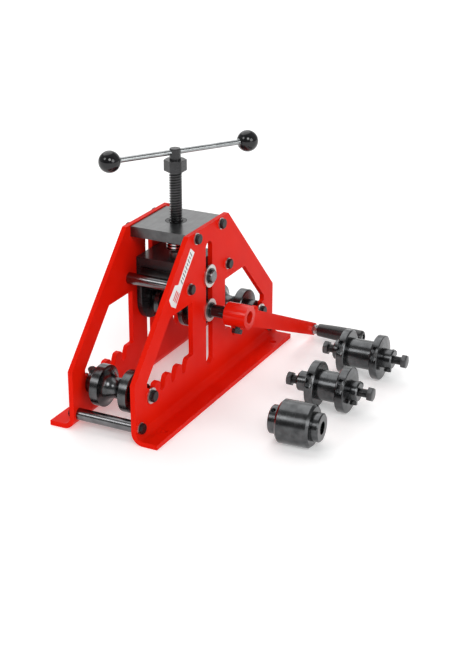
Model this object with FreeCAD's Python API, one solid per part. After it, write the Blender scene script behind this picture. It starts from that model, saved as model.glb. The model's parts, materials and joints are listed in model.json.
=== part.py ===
import FreeCAD, Part
import math
import os

# Hand-cranked ring roller for round tube, with its spare rollers beside it.
# Two bent side plates carry a lifting carriage between them. A screw with a sliding T-bar
# presses the carriage, its centre roller and the crank down onto tube that lies on two
# lower rollers, whose axles are bolted into racks of notches.
# Millimetres. X runs along the side plates, Y across them and Z up. The origin lies on the
# bench plane, under the middle of the machine. "Near" is the crank's side, towards -Y.

Vec = FreeCAD.Vector
ALONG_X = Vec(1, 0, 0)
ALONG_Y = Vec(0, 1, 0)
UP = Vec(0, 0, 1)
NEAR = -1
FAR = 1
LEFT = -1
RIGHT = 1

# ---------------------------------------------------------------- driving dimensions

# Side plates
plate_length = 564.0
plate_height = 327.0
plate_end_height = 115.0
plate_top_length = 160.0
plate_thickness = 9.5
plate_gap = 119.0
plate_corner = 3.0
flange_reach = 42.5
bend_inner_radius = 14.0
flange_hole_diameter = 13.0
flange_hole_end_distance = 54.5
flange_hole_edge_distance = 14.5

# Windows and the racks of notches at their lower edge
window_column_x = 66.0
window_top_drop = 130.0
window_end_drop = 11.4
window_end_distance = 43.0
window_corner = 3.0
rack_end_distance = 57.0
rack_pitch = 40.6
rack_count = 4
rack_tip_z = 91.5
rack_tip_radius = 7.5
notch_bottom_z = 67.5
notch_clearance = 0.5
notch_lean = 25.0

# Guide slot for the carriage's pins
slot_bottom_z = 47.0
slot_top_drop = 32.0
slot_clearance = 1.0

# Plate bolts, with their washers
plate_bolt_diameter = 10.0
plate_bolt_flats = 17.0
plate_bolt_head = 6.4
plate_bolt_grip = 22.0
plate_washer_diameter = 22.0
plate_washer_thickness = 2.0
bolt_hole_clearance = 0.5
spot_face_clearance = 0.4
head_chamfer = 0.8

# Top plate, and the threaded bush in it
top_plate_length = 134.0
top_plate_thickness = 20.0
top_plate_drop = 2.0
top_bolt_x = 48.8
bush_body_diameter = 41.0
bush_flange_diameter = 45.0
bush_flange_length = 20.0
bush_ring_diameter = 38.0
bush_chamfer = 1.5
bush_rim_chamfer = 1.0

# Spacer rods between the side plates
spacer_diameter = 22.0
mid_spacer_x = 76.6
mid_spacer_drop = 101.0
low_spacer_end_distance = 16.5
low_spacer_z = 27.0

# Carriage
pin_diameter = 24.0
cheek_thickness = 10.0
cheek_side_clearance = 1.0
cheek_half_width = 50.0
cheek_top_drop = 67.0
cheek_nose_drop = 33.0
cheek_nose_radius = 45.0
carriage_top_thickness = 18.0
carriage_bar_thickness = 10.0
carriage_bar_height = 18.0
carriage_bar_drop = 20.0
guide_pin_drop = 33.3
shaft_drop = 102.0
pin_overhang = 7.0
slot_washer_diameter = 44.0
slot_washer_thickness = 3.5
slide_clearance = 0.3
clip_diameter = 30.0
clip_thickness = 2.0
running_clearance = 0.05

# Lift screw
screw_diameter = 24.0
screw_pitch = 5.0
screw_thread_depth = 2.4
thread_root_share = 0.25
thread_flank_share = 0.125
screw_bush_clearance = 0.4
screw_neck_diameter = 16.0
thrust_collar_diameter = 26.0
thrust_collar_thickness = 4.5
thrust_clearance = 0.1
lift_travel_up = 5.0
retainer_diameter = 27.0
retainer_thickness = 6.0
retainer_pocket_clearance = 0.6
retainer_cover = 1.0
screw_nut_flats = 37.0
screw_nut_rise = 97.0
screw_nut_height = 21.0
screw_head_diameter = 21.0
screw_head_height = 21.0
screw_chamfer = 1.2

# T-bar with two ball knobs
bar_diameter = 10.0
bar_rise = 35.0
bar_heading = -34.0
knob_spacing = 284.5
bar_offset = 10.3
knob_diameter = 40.5
knob_flat = 19.0
bar_seat_depth = 14.0

# Centre roller
roller_bore = 24.0
centre_roller_diameter = 76.0
centre_roller_width = 64.0
centre_roller_length = 94.0
centre_groove_width = 42.0
stub_diameter = 39.0
rim_chamfer = 2.0
waist_diameter = 39.0

# Lower rollers and their axles
lower_roller_diameter = 78.0
lower_roller_width = 79.0
lower_roller_length = 116.0
lower_groove_width = 43.0
axle_bolt_diameter = 12.0
axle_bolt_flats = 19.0
axle_bolt_head = 7.5
axle_bolt_grip = 24.0
axle_washer_diameter = 30.0
axle_washer_thickness = 2.5
roller_screw_angle = 105.0

# Set screws with a hexagon head
set_screw_diameter = 8.0
set_screw_flats = 13.0
set_screw_head = 6.0
set_screw_stand = 9.0

# Crank
hub_diameter = 45.0
hub_near_y = -154.0
hub_length = 45.0
shaft_recess = 14.0
arm_thickness = 11.0
arm_heading = -24.4
arm_reach = 346.0
arm_root_width = 33.0
arm_end_width = 25.5
arm_end_corner = 8.0
hub_screw_diameter = 10.0
hub_screw_flats = 17.0
hub_screw_head = 9.0
hub_screw_stand = 3.0
hub_screw_inset = 20.0
grip_end_distance = 14.0
grip_bolt_diameter = 10.0
grip_neck_diameter = 15.0
grip_nut_flats = 17.0
grip_nut_height = 8.0
grip_gap = 11.0
grip_length = 99.5
grip_root_diameter = 26.0
grip_end_diameter = 31.0
grip_end_rounding = 5.0
grip_recess_diameter = 18.0
grip_recess_depth = 8.0
grip_head_diameter = 14.0
grip_head_height = 5.0
grip_end_play = 0.4

# Plain spare roller
plain_near_x = -142.2
plain_near_y = -367.0
plain_turn = 3.5
plain_body_diameter = 80.0
plain_body_length = 64.0
plain_near_stub_length = 17.0
plain_far_stub_length = 14.5
plain_stub_diameter = 53.0
plain_chamfer = 4.5
plain_hole_diameter = 9.0
plain_near_screw_angle = 297.0
plain_near_screw_inset = 7.5
plain_far_screw_angle = 117.0
plain_near_screw_stand = 6.0

# Adjustable spare rollers
disc_diameter = 87.0
disc_boss_diameter = 58.0
disc_chamfer = 2.0
disc_screw_diameter = 10.0
disc_recess_width = 12.0
disc_recess_length = 29.0
disc_recess_depth = 13.0
disc_recess_angle = 150.0
disc_screw_stand = 3.0
sleeve_diameter = 57.0
spindle_diameter = 38.0
spindle_length = 121.0
spindle_chamfer = 2.5
spare_bolt_diameter = 16.0
spare_bolt_flats = 24.0
spare_bolt_head = 10.0
spare_bolt_grip = 24.0
spare_far_shank = 13.0
spare_near_shank = 17.0
end_screw_angles = (10.0, 250.0)
end_screw_inset = 8.5
spare_a_far_x = 14.2
spare_a_far_y = -228.5
spare_a_turn = 1.14
spare_a_far_collar = 25.0
spare_a_disc = 18.0
spare_a_sleeve = 43.0
spare_b_far_x = 178.5
spare_b_far_y = -231.5
spare_b_turn = 1.8
spare_b_far_collar = 15.5
spare_b_disc = 16.5
spare_b_sleeve = 52.0

# ---------------------------------------------------------------- derived places

plate_inner_y = plate_gap / 2
plate_outer_y = plate_inner_y + plate_thickness
flange_edge_y = plate_outer_y + flange_reach
bend_outer_radius = bend_inner_radius + plate_thickness
bend_centre_y = plate_outer_y + bend_inner_radius
half_length = plate_length / 2
half_top = plate_top_length / 2
low_spacer_x = half_length - low_spacer_end_distance
rack_first_x = half_length - rack_end_distance
window_end_x = half_length - window_end_distance
window_top_z = plate_height - window_top_drop
window_end_top_z = plate_end_height - window_end_drop
slot_top_z = plate_height - slot_top_drop
mid_spacer_z = plate_height - mid_spacer_drop
cheek_top_z = plate_height - cheek_top_drop
guide_pin_z = cheek_top_z - guide_pin_drop
shaft_z = cheek_top_z - shaft_drop
slant_run = (half_length - half_top) / (plate_height - plate_end_height)
window_top_outer_x = window_end_x - (window_top_z - window_end_top_z) * slant_run
notch_radius = axle_bolt_diameter / 2 + notch_clearance
axle_z = notch_bottom_z + notch_radius
slot_width = pin_diameter + 2 * slot_clearance
top_plate_top_z = plate_height - top_plate_drop
top_plate_bottom_z = top_plate_top_z - top_plate_thickness
cheek_outer_y = plate_inner_y - cheek_side_clearance
cheek_inner_y = cheek_outer_y - cheek_thickness
carriage_top_bottom_z = cheek_top_z - carriage_top_thickness
slot_washer_y = plate_outer_y + slide_clearance
clip_y = slot_washer_y + slot_washer_thickness
pin_end_y = clip_y + pin_overhang
thrust_bottom_z = cheek_top_z + thrust_clearance
thrust_top_z = thrust_bottom_z + thrust_collar_thickness
bush_bottom_z = thrust_top_z + lift_travel_up + slide_clearance
screw_thread_bottom_z = thrust_top_z
screw_nut_bottom_z = top_plate_top_z + screw_nut_rise
bar_z = screw_nut_bottom_z + bar_rise
screw_thread_top_z = screw_nut_bottom_z + screw_nut_height
screw_head_top_z = screw_thread_top_z + screw_head_height
retainer_pocket_depth = retainer_cover + retainer_thickness + 2 * thrust_clearance
arm_inner_y = hub_near_y + arm_thickness
grip_radius_on_arm = arm_reach - grip_end_distance
plain_length = plain_near_stub_length + plain_body_length + plain_far_stub_length


# ---------------------------------------------------------------- helpers

def along(shape, origin, direction):
    """Places a shape that was made on +Z at an origin, with +Z turned to a direction."""
    placed = shape.copy()
    placed.Placement = FreeCAD.Placement(origin, FreeCAD.Rotation(UP, direction))
    return placed


def cylinder(diameter, start, end):
    """Cylinder between two points."""
    run = end.sub(start)
    return Part.makeCylinder(diameter / 2, run.Length, start, run)


def turned(outline):
    """Solid of revolution about Z from (radius, height) points that close on themselves."""
    points = [Vec(radius, 0, height) for radius, height in outline]
    points.append(points[0])
    face = Part.Face(Part.makePolygon(points))
    return face.revolve(Vec(0, 0, 0), UP, 360)


def ring(outer_diameter, bore, start, end):
    """Plain ring or washer between two points on its axis."""
    return cylinder(outer_diameter, start, end).cut(cylinder(bore, start, end))


def chamfered_rod(diameter, length, chamfer):
    """Rod on +Z with both ends chamfered."""
    radius = diameter / 2
    return turned([
        (0, 0),
        (radius - chamfer, 0),
        (radius, chamfer),
        (radius, length - chamfer),
        (radius - chamfer, length),
        (0, length),
    ])


def hexagon(flats, height):
    """Hexagonal prism on +Z with the corners of its far end chamfered."""
    corner = flats / math.sqrt(3)
    points = []
    for index in range(7):
        angle = math.radians(60 * index)
        points.append(Vec(corner * math.cos(angle), corner * math.sin(angle), 0))
    prism = Part.Face(Part.makePolygon(points)).extrude(Vec(0, 0, height))
    chamfer = turned([
        (0, 0),
        (corner, 0),
        (corner, height - head_chamfer),
        (flats / 2 - head_chamfer / 2, height),
        (0, height),
    ])
    return prism.common(chamfer)


def hex_bolt(diameter, flats, head, shank):
    """Bolt with the underside of its head at the origin and its shank along -Z."""
    body = Part.makeCylinder(diameter / 2, shank, Vec(0, 0, 0), Vec(0, 0, -1))
    return hexagon(flats, head).fuse(body)


def rounded_face(corners):
    """Face in the XZ plane from (x, z, radius) corners, each rounded by its radius."""
    count = len(corners)
    edges = []
    starts = []
    ends = []
    arcs = []
    for index in range(count):
        x, z, radius = corners[index]
        corner = Vec(x, 0, z)
        before = Vec(corners[index - 1][0], 0, corners[index - 1][1])
        after = Vec(corners[(index + 1) % count][0], 0, corners[(index + 1) % count][1])
        to_before = before.sub(corner).normalize()
        to_after = after.sub(corner).normalize()
        if radius <= 0:
            starts.append(corner)
            ends.append(corner)
            arcs.append(None)
            continue
        half_angle = to_before.getAngle(to_after) / 2
        tangent = radius / math.tan(half_angle)
        bisector = to_before.add(to_after).normalize()
        middle = corner.add(bisector * (radius / math.sin(half_angle) - radius))
        starts.append(corner.add(to_before * tangent))
        ends.append(corner.add(to_after * tangent))
        arcs.append(Part.Arc(starts[-1], middle, ends[-1]).toShape())
    for index in range(count):
        if arcs[index] is not None:
            edges.append(arcs[index])
        following = starts[(index + 1) % count]
        if ends[index].distanceToPoint(following) > 1e-6:
            edges.append(Part.LineSegment(ends[index], following).toShape())
    return Part.Face(Part.Wire(edges))


def extruded(face, y_start, y_end):
    """Solid from a face in the XZ plane, between two Y places."""
    moved = face.copy()
    moved.translate(Vec(0, y_start, 0))
    return moved.extrude(Vec(0, y_end - y_start, 0))


def mirrored_y(shape):
    """Mirror image of a near shape on the far side."""
    return shape.mirror(Vec(0, 0, 0), ALONG_Y)


def heading(angle):
    """Unit vector in the XZ plane, turned from +X towards +Z."""
    radians = math.radians(angle)
    return Vec(math.cos(radians), 0, math.sin(radians))


def spool(diameter, width, length, groove_width, bore, waist):
    """Grooved roller on Z, centred on the origin, with a stub at each end."""
    rim = diameter / 2
    half_width = width / 2
    half_span = length / 2
    stub = stub_diameter / 2
    groove_radius = groove_width / 2
    body = turned([
        (bore / 2, -half_span),
        (stub - rim_chamfer / 2, -half_span),
        (stub, -half_span + rim_chamfer / 2),
        (stub, -half_width),
        (rim - rim_chamfer, -half_width),
        (rim, -half_width + rim_chamfer),
        (rim, half_width - rim_chamfer),
        (rim - rim_chamfer, half_width),
        (stub, half_width),
        (stub, half_span - rim_chamfer / 2),
        (stub - rim_chamfer / 2, half_span),
        (bore / 2, half_span),
    ])
    groove = Part.makeTorus(waist / 2 + groove_radius, groove_radius, Vec(0, 0, 0), UP)
    return body.cut(groove)


def compound(solids):
    """Group of separate solids for one node."""
    return Part.makeCompound(solids)


# ---------------------------------------------------------------- side plates

def notch_apex(x):
    """Point where a notch's upright wall and its leaning wall would meet."""
    lean = math.radians(notch_lean)
    run = notch_radius * (1 + math.cos(lean)) / math.sin(lean)
    drop = notch_radius * math.sin(lean) + run * math.cos(lean)
    return x + notch_radius, axle_z - drop


def notch_tip_x(x):
    """Where a notch's leaning wall reaches the height of the tips."""
    apex_x, apex_z = notch_apex(x)
    return apex_x - (rack_tip_z - apex_z) * math.tan(math.radians(notch_lean))


def window_face(side):
    """Window of one side, with the rack of notches as its lower edge."""
    corners = [
        (window_column_x, window_top_z, window_corner),
        (window_top_outer_x, window_top_z, window_corner),
        (window_end_x, window_end_top_z, window_corner),
        (window_end_x, rack_tip_z, window_corner),
        (rack_first_x + notch_radius, rack_tip_z, window_corner / 2),
    ]
    for index in range(rack_count):
        x = rack_first_x - index * rack_pitch
        apex_x, apex_z = notch_apex(x)
        if index > 0:
            corners.append((x + notch_radius, rack_tip_z, rack_tip_radius))
        corners.append((apex_x, apex_z, notch_radius))
        corners.append((notch_tip_x(x), rack_tip_z, rack_tip_radius))
    corners.append((window_column_x, rack_tip_z, window_corner))
    return rounded_face([(side * x, z, radius) for x, z, radius in corners])


def side_plate():
    """Near side plate: web, bend and flange in one piece."""
    web_face = rounded_face([
        (-half_length, bend_outer_radius, 0),
        (half_length, bend_outer_radius, 0),
        (half_length, plate_end_height, plate_corner),
        (half_top, plate_height, plate_corner),
        (-half_top, plate_height, plate_corner),
        (-half_length, plate_end_height, plate_corner),
    ])
    plate = extruded(web_face, -plate_outer_y, -plate_inner_y)
    bend_centre = Vec(-half_length, -bend_centre_y, bend_outer_radius)
    bend = Part.makeCylinder(bend_outer_radius, plate_length, bend_centre, ALONG_X)
    bend = bend.cut(Part.makeCylinder(bend_inner_radius, plate_length, bend_centre, ALONG_X))
    quarter = Part.makeBox(
        plate_length,
        bend_outer_radius,
        bend_outer_radius,
        Vec(-half_length, -bend_centre_y, 0),
    )
    flange = Part.makeBox(
        plate_length,
        flange_edge_y - bend_centre_y,
        plate_thickness,
        Vec(-half_length, -flange_edge_y, 0),
    )
    plate = plate.fuse([bend.common(quarter), flange]).removeSplitter()
    for side in (LEFT, RIGHT):
        window = extruded(window_face(side), -plate_outer_y - 1, -plate_inner_y + 1)
        plate = plate.cut(window)
    slot_half = slot_width / 2
    slot = rounded_face([
        (-slot_half, slot_bottom_z, slot_half),
        (slot_half, slot_bottom_z, slot_half),
        (slot_half, slot_top_z, slot_half),
        (-slot_half, slot_top_z, slot_half),
    ])
    plate = plate.cut(extruded(slot, -plate_outer_y - 1, -plate_inner_y + 1))
    for x, z in plate_bolt_places():
        hole_start = Vec(x, -plate_outer_y - 1, z)
        hole_end = Vec(x, -plate_inner_y + 1, z)
        hole = cylinder(plate_bolt_diameter + 2 * bolt_hole_clearance, hole_start, hole_end)
        face_start = Vec(x, -plate_outer_y - bend_inner_radius, z)
        face_end = Vec(x, -plate_outer_y, z)
        spot_diameter = plate_washer_diameter + 2 * spot_face_clearance
        plate = plate.cut([hole, cylinder(spot_diameter, face_start, face_end)])
    for side in (LEFT, RIGHT):
        x = side * (half_length - flange_hole_end_distance)
        y = -flange_edge_y + flange_hole_edge_distance
        start = Vec(x, y, -1)
        end = Vec(x, y, plate_thickness + 1)
        plate = plate.cut(cylinder(flange_hole_diameter, start, end))
    return plate


def plate_bolt_places():
    """X and Z of every bolt that holds one side plate."""
    top_bolt_z = top_plate_top_z - top_plate_thickness / 2
    places = []
    for side in (LEFT, RIGHT):
        places.append((side * top_bolt_x, top_bolt_z))
        places.append((side * mid_spacer_x, mid_spacer_z))
        places.append((side * low_spacer_x, low_spacer_z))
    return places


# ---------------------------------------------------------------- frame pieces

def top_plate():
    """Thick plate that ties the side plates and holds the threaded bush."""
    plate = Part.makeBox(
        top_plate_length,
        plate_gap,
        top_plate_thickness,
        Vec(-top_plate_length / 2, -plate_inner_y, top_plate_bottom_z),
    )
    bottom = Vec(0, 0, top_plate_bottom_z)
    plate = plate.cut(cylinder(bush_body_diameter, bottom, Vec(0, 0, top_plate_top_z)))
    for x in (-top_bolt_x, top_bolt_x):
        for face in (NEAR, FAR):
            z = top_plate_top_z - top_plate_thickness / 2
            start = Vec(x, face * plate_inner_y, z)
            end = Vec(x, face * (plate_inner_y - plate_bolt_grip), z)
            plate = plate.cut(cylinder(plate_bolt_diameter, start, end))
    return plate


def screw_bush():
    """Threaded bush, flush with the top plate and stepped below it."""
    body = bush_body_diameter / 2
    flange = bush_flange_diameter / 2
    ring_radius = bush_ring_diameter / 2
    bore = screw_diameter / 2 + screw_bush_clearance
    ring_top_z = top_plate_bottom_z - bush_flange_length
    return turned([
        (bore + bush_chamfer, bush_bottom_z),
        (ring_radius - bush_chamfer, bush_bottom_z),
        (ring_radius, bush_bottom_z + bush_chamfer),
        (ring_radius, ring_top_z),
        (flange - bush_chamfer, ring_top_z),
        (flange, ring_top_z + bush_chamfer),
        (flange, top_plate_bottom_z),
        (body, top_plate_bottom_z),
        (body, top_plate_top_z - bush_rim_chamfer),
        (body - bush_rim_chamfer, top_plate_top_z),
        (bore + bush_chamfer, top_plate_top_z),
        (bore, top_plate_top_z - bush_chamfer),
        (bore, bush_bottom_z + bush_chamfer),
    ])


def spacer_rod(x, z):
    """Rod between the side plates with a threaded hole in each end."""
    rod = cylinder(spacer_diameter, Vec(x, -plate_inner_y, z), Vec(x, plate_inner_y, z))
    for face in (NEAR, FAR):
        start = Vec(x, face * plate_inner_y, z)
        end = Vec(x, face * (plate_inner_y - plate_bolt_grip), z)
        rod = rod.cut(cylinder(plate_bolt_diameter, start, end))
    return rod


def plate_bolts():
    """All the bolts through the side plates, heads outward."""
    shank = plate_washer_thickness + plate_thickness + plate_bolt_grip
    bolts = []
    for x, z in plate_bolt_places():
        for face in (NEAR, FAR):
            bolt = hex_bolt(plate_bolt_diameter, plate_bolt_flats, plate_bolt_head, shank)
            seat = Vec(x, face * (plate_outer_y + plate_washer_thickness), z)
            bolts.append(along(bolt, seat, Vec(0, face, 0)))
    return compound(bolts)


def plate_washers():
    """One washer under the head of each bolt through the side plates."""
    washers = []
    bore = plate_bolt_diameter + 2 * bolt_hole_clearance
    for x, z in plate_bolt_places():
        for face in (NEAR, FAR):
            start = Vec(x, face * plate_outer_y, z)
            end = Vec(x, face * (plate_outer_y + plate_washer_thickness), z)
            washers.append(ring(plate_washer_diameter, bore, start, end))
    return compound(washers)


# ---------------------------------------------------------------- lower rollers

def lower_axle(side):
    """Axle clamped between the side plates by a bolt at each end."""
    x = side * rack_first_x
    axle_diameter = roller_bore
    rod = cylinder(axle_diameter, Vec(x, -plate_inner_y, axle_z), Vec(x, plate_inner_y, axle_z))
    for face in (NEAR, FAR):
        start = Vec(x, face * plate_inner_y, axle_z)
        end = Vec(x, face * (plate_inner_y - axle_bolt_grip), axle_z)
        rod = rod.cut(cylinder(axle_bolt_diameter, start, end))
    return rod


def axle_bolts():
    """Bolts that clamp the two axles in their notches."""
    shank = axle_washer_thickness + plate_thickness + axle_bolt_grip
    bolts = []
    for side in (LEFT, RIGHT):
        for face in (NEAR, FAR):
            bolt = hex_bolt(axle_bolt_diameter, axle_bolt_flats, axle_bolt_head, shank)
            y = face * (plate_outer_y + axle_washer_thickness)
            bolts.append(along(bolt, Vec(side * rack_first_x, y, axle_z), Vec(0, face, 0)))
    return compound(bolts)


def axle_washers():
    """Wide washers that bridge the notches under the axle bolts."""
    washers = []
    bore = axle_bolt_diameter + 2 * notch_clearance
    for side in (LEFT, RIGHT):
        for face in (NEAR, FAR):
            start = Vec(side * rack_first_x, face * plate_outer_y, axle_z)
            end = Vec(side * rack_first_x, face * (plate_outer_y + axle_washer_thickness), axle_z)
            washers.append(ring(axle_washer_diameter, bore, start, end))
    return compound(washers)


def lower_roller(side):
    """Grooved lower roller, free to turn on its axle, with its set screws' threaded holes."""
    bore = roller_bore + 2 * running_clearance
    roller = spool(
        lower_roller_diameter,
        lower_roller_width,
        lower_roller_length,
        lower_groove_width,
        bore,
        waist_diameter,
    )
    roller = along(roller, Vec(side * rack_first_x, 0, axle_z), ALONG_Y)
    return roller.cut(lower_roller_screw_holes(side))


def stub_screw_y():
    """Y of the set screws, in the middle of the lower rollers' stubs."""
    return (lower_roller_width + lower_roller_length) / 4


def lower_roller_screw_holes(side):
    """Radial holes through the stubs for the set screws."""
    holes = []
    for face, angle in ((FAR, roller_screw_angle), (NEAR, roller_screw_angle + 180)):
        start = Vec(side * rack_first_x, face * stub_screw_y(), axle_z)
        end = start.add(heading(angle) * stub_diameter)
        holes.append(cylinder(set_screw_diameter, start, end))
    return holes


def lower_roller_screws(side):
    """Two hexagon-head set screws, one in each stub."""
    seat = roller_bore / 2 + running_clearance + slide_clearance
    stand = stub_diameter / 2 + set_screw_stand
    screw = hex_bolt(set_screw_diameter, set_screw_flats, set_screw_head, stand - seat)
    screws = []
    for face, angle in ((FAR, roller_screw_angle), (NEAR, roller_screw_angle + 180)):
        origin = Vec(side * rack_first_x, face * stub_screw_y(), axle_z)
        direction = heading(angle)
        screws.append(along(screw, origin.add(direction * stand), direction))
    return compound(screws)


# ---------------------------------------------------------------- carriage

def cheek():
    """Near cheek of the carriage, with bores for the guide pin and the drive shaft."""
    bottom_z = shaft_z - cheek_nose_drop
    face = rounded_face([
        (-cheek_half_width, cheek_top_z, 0),
        (-cheek_half_width, bottom_z, cheek_nose_radius),
        (cheek_half_width, bottom_z, cheek_nose_radius),
        (cheek_half_width, cheek_top_z, 0),
    ])
    solid = extruded(face, -cheek_outer_y, -cheek_inner_y)
    shaft_bore = pin_diameter + 2 * running_clearance
    for z, bore in ((guide_pin_z, pin_diameter), (shaft_z, shaft_bore)):
        solid = solid.cut(cylinder(bore, Vec(0, -cheek_outer_y, z), Vec(0, -cheek_inner_y, z)))
    return solid


def carriage_top():
    """Top plate of the carriage, bored for the screw's neck and pocketed for its retainer."""
    plate = Part.makeBox(
        2 * cheek_half_width,
        2 * cheek_inner_y,
        carriage_top_thickness,
        Vec(-cheek_half_width, -cheek_inner_y, carriage_top_bottom_z),
    )
    neck_bore = screw_neck_diameter + 2 * running_clearance
    pocket = retainer_diameter + 2 * retainer_pocket_clearance
    pocket_top_z = carriage_top_bottom_z + retainer_pocket_depth
    bottom = Vec(0, 0, carriage_top_bottom_z)
    return plate.cut([
        cylinder(neck_bore, bottom, Vec(0, 0, cheek_top_z)),
        cylinder(pocket, bottom, Vec(0, 0, pocket_top_z)),
    ])


def carriage_bar(side):
    """Bar that ties the cheeks at one end of the carriage."""
    outer_x = side * cheek_half_width
    low_x = min(outer_x, outer_x - side * carriage_bar_thickness)
    bottom_z = cheek_top_z - carriage_bar_drop - carriage_bar_height
    return Part.makeBox(
        carriage_bar_thickness,
        2 * cheek_inner_y,
        carriage_bar_height,
        Vec(low_x, -cheek_inner_y, bottom_z),
    )


def guide_pin():
    """Pin through both cheeks and both slots."""
    length = 2 * pin_end_y
    pin = chamfered_rod(pin_diameter, length, screw_chamfer)
    return along(pin, Vec(0, -pin_end_y, guide_pin_z), ALONG_Y)


def slot_washers(z):
    """Pair of washers outside the side plates, on the pin or shaft at a height."""
    washers = []
    for face in (NEAR, FAR):
        start = Vec(0, face * slot_washer_y, z)
        end = Vec(0, face * clip_y, z)
        washers.append(ring(slot_washer_diameter, pin_diameter, start, end))
    return compound(washers)


def slot_clips(z):
    """Pair of retaining rings that hold the washers on the pin or shaft."""
    clips = []
    for face in (NEAR, FAR):
        start = Vec(0, face * clip_y, z)
        end = Vec(0, face * (clip_y + clip_thickness), z)
        clips.append(ring(clip_diameter, pin_diameter, start, end))
    return compound(clips)


# ---------------------------------------------------------------- lift screw and T-bar

def bar_direction():
    """Unit vector along the T-bar."""
    radians = math.radians(bar_heading)
    return Vec(math.cos(radians), math.sin(radians), 0)


def lift_screw():
    """Screw with its thread as rings of its real pitch and depth, a neck and a cross-drilled head."""
    crest = screw_diameter / 2
    root = crest - screw_thread_depth
    neck = screw_neck_diameter / 2
    head = screw_head_diameter / 2
    neck_bottom_z = carriage_top_bottom_z + thrust_clearance
    outline = [(0, neck_bottom_z), (neck, neck_bottom_z), (neck, screw_thread_bottom_z)]
    root_flat = screw_pitch * thread_root_share
    flank = screw_pitch * thread_flank_share
    thread_length = screw_nut_bottom_z - screw_thread_bottom_z
    turns = int(thread_length / screw_pitch)
    for index in range(turns):
        z = screw_thread_bottom_z + index * screw_pitch
        outline.append((root, z))
        outline.append((root, z + root_flat))
        outline.append((crest, z + root_flat + flank))
        outline.append((crest, z + screw_pitch - flank))
    outline.append((root, screw_thread_bottom_z + turns * screw_pitch))
    outline.append((root, screw_nut_bottom_z))
    outline.append((crest, screw_nut_bottom_z))
    outline.append((crest, screw_thread_top_z))
    outline.append((head, screw_thread_top_z))
    outline.append((head, screw_head_top_z - screw_chamfer))
    outline.append((head - screw_chamfer, screw_head_top_z))
    outline.append((0, screw_head_top_z))
    direction = bar_direction()
    centre = Vec(0, 0, bar_z)
    reach = direction * screw_head_diameter
    hole_diameter = bar_diameter + 2 * running_clearance
    return turned(outline).cut(cylinder(hole_diameter, centre.sub(reach), centre.add(reach)))


def screw_nut():
    """Hexagon welded to the screw under its head, for a spanner."""
    nut = hexagon(screw_nut_flats, screw_nut_height)
    nut = nut.cut(Part.makeCylinder(screw_diameter / 2, screw_nut_height))
    nut.translate(Vec(0, 0, screw_nut_bottom_z))
    return nut


def neck_collars():
    """Two collars on the screw's neck: one bears on the carriage, one lifts it from its pocket."""
    thrust_start = Vec(0, 0, thrust_bottom_z)
    thrust_end = Vec(0, 0, thrust_top_z)
    lifting_top_z = carriage_top_bottom_z + retainer_pocket_depth - thrust_clearance
    lifting_start = Vec(0, 0, lifting_top_z - retainer_thickness)
    lifting_end = Vec(0, 0, lifting_top_z)
    return compound([
        ring(thrust_collar_diameter, screw_neck_diameter, thrust_start, thrust_end),
        ring(retainer_diameter, screw_neck_diameter, lifting_start, lifting_end),
    ])


def knob_centre(side):
    """Centre of one ball knob."""
    return Vec(0, 0, bar_z).add(bar_direction() * (bar_offset + side * knob_spacing / 2))


def t_bar():
    """Round bar that slides through the screw's head."""
    seat = knob_flat - bar_seat_depth
    start = knob_centre(LEFT).add(bar_direction() * seat)
    end = knob_centre(RIGHT).sub(bar_direction() * seat)
    return cylinder(bar_diameter, start, end)


def knob(side):
    """Ball knob, flat where the bar enters it and bored to the bar's seat."""
    ball = Part.makeSphere(knob_diameter / 2)
    cut_off = Part.makeBox(
        knob_diameter,
        knob_diameter,
        knob_diameter,
        Vec(-knob_diameter / 2, -knob_diameter / 2, knob_flat),
    )
    seat = knob_flat - bar_seat_depth
    socket = Part.makeCylinder(bar_diameter / 2, bar_seat_depth, Vec(0, 0, seat))
    ball = ball.cut([cut_off, socket])
    return along(ball, knob_centre(side), bar_direction() * -side)


# ---------------------------------------------------------------- drive: shaft, roller and crank

def drive_shaft():
    """Shaft from the far washers to just inside the crank hub's open end."""
    near_y = hub_near_y + shaft_recess
    shaft = chamfered_rod(pin_diameter, pin_end_y - near_y, screw_chamfer)
    return along(shaft, Vec(0, near_y, shaft_z), ALONG_Y)


def centre_roller():
    """Grooved roller fixed on the drive shaft."""
    roller = spool(
        centre_roller_diameter,
        centre_roller_width,
        centre_roller_length,
        centre_groove_width,
        roller_bore,
        waist_diameter,
    )
    return along(roller, Vec(0, 0, shaft_z), ALONG_Y)


def hub_screw_place():
    """Place on the shaft's axis below the hub's set screw."""
    return Vec(0, hub_near_y + hub_screw_inset, shaft_z)


def crank_hub():
    """Hub with a bore for the shaft and a threaded hole for its set screw."""
    start = Vec(0, hub_near_y, shaft_z)
    hub = ring(hub_diameter, pin_diameter, start, Vec(0, hub_near_y + hub_length, shaft_z))
    origin = hub_screw_place()
    reach = heading(arm_heading - 90) * hub_diameter
    return hub.cut(cylinder(hub_screw_diameter, origin, origin.add(reach)))


def crank_set_screw():
    """Hexagon-head screw that clamps the hub on the shaft."""
    stand = hub_diameter / 2 + hub_screw_stand
    shank = stand - pin_diameter / 2
    screw = hex_bolt(hub_screw_diameter, hub_screw_flats, hub_screw_head, shank)
    direction = heading(arm_heading - 90)
    return along(screw, hub_screw_place().add(direction * stand), direction)


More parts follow.
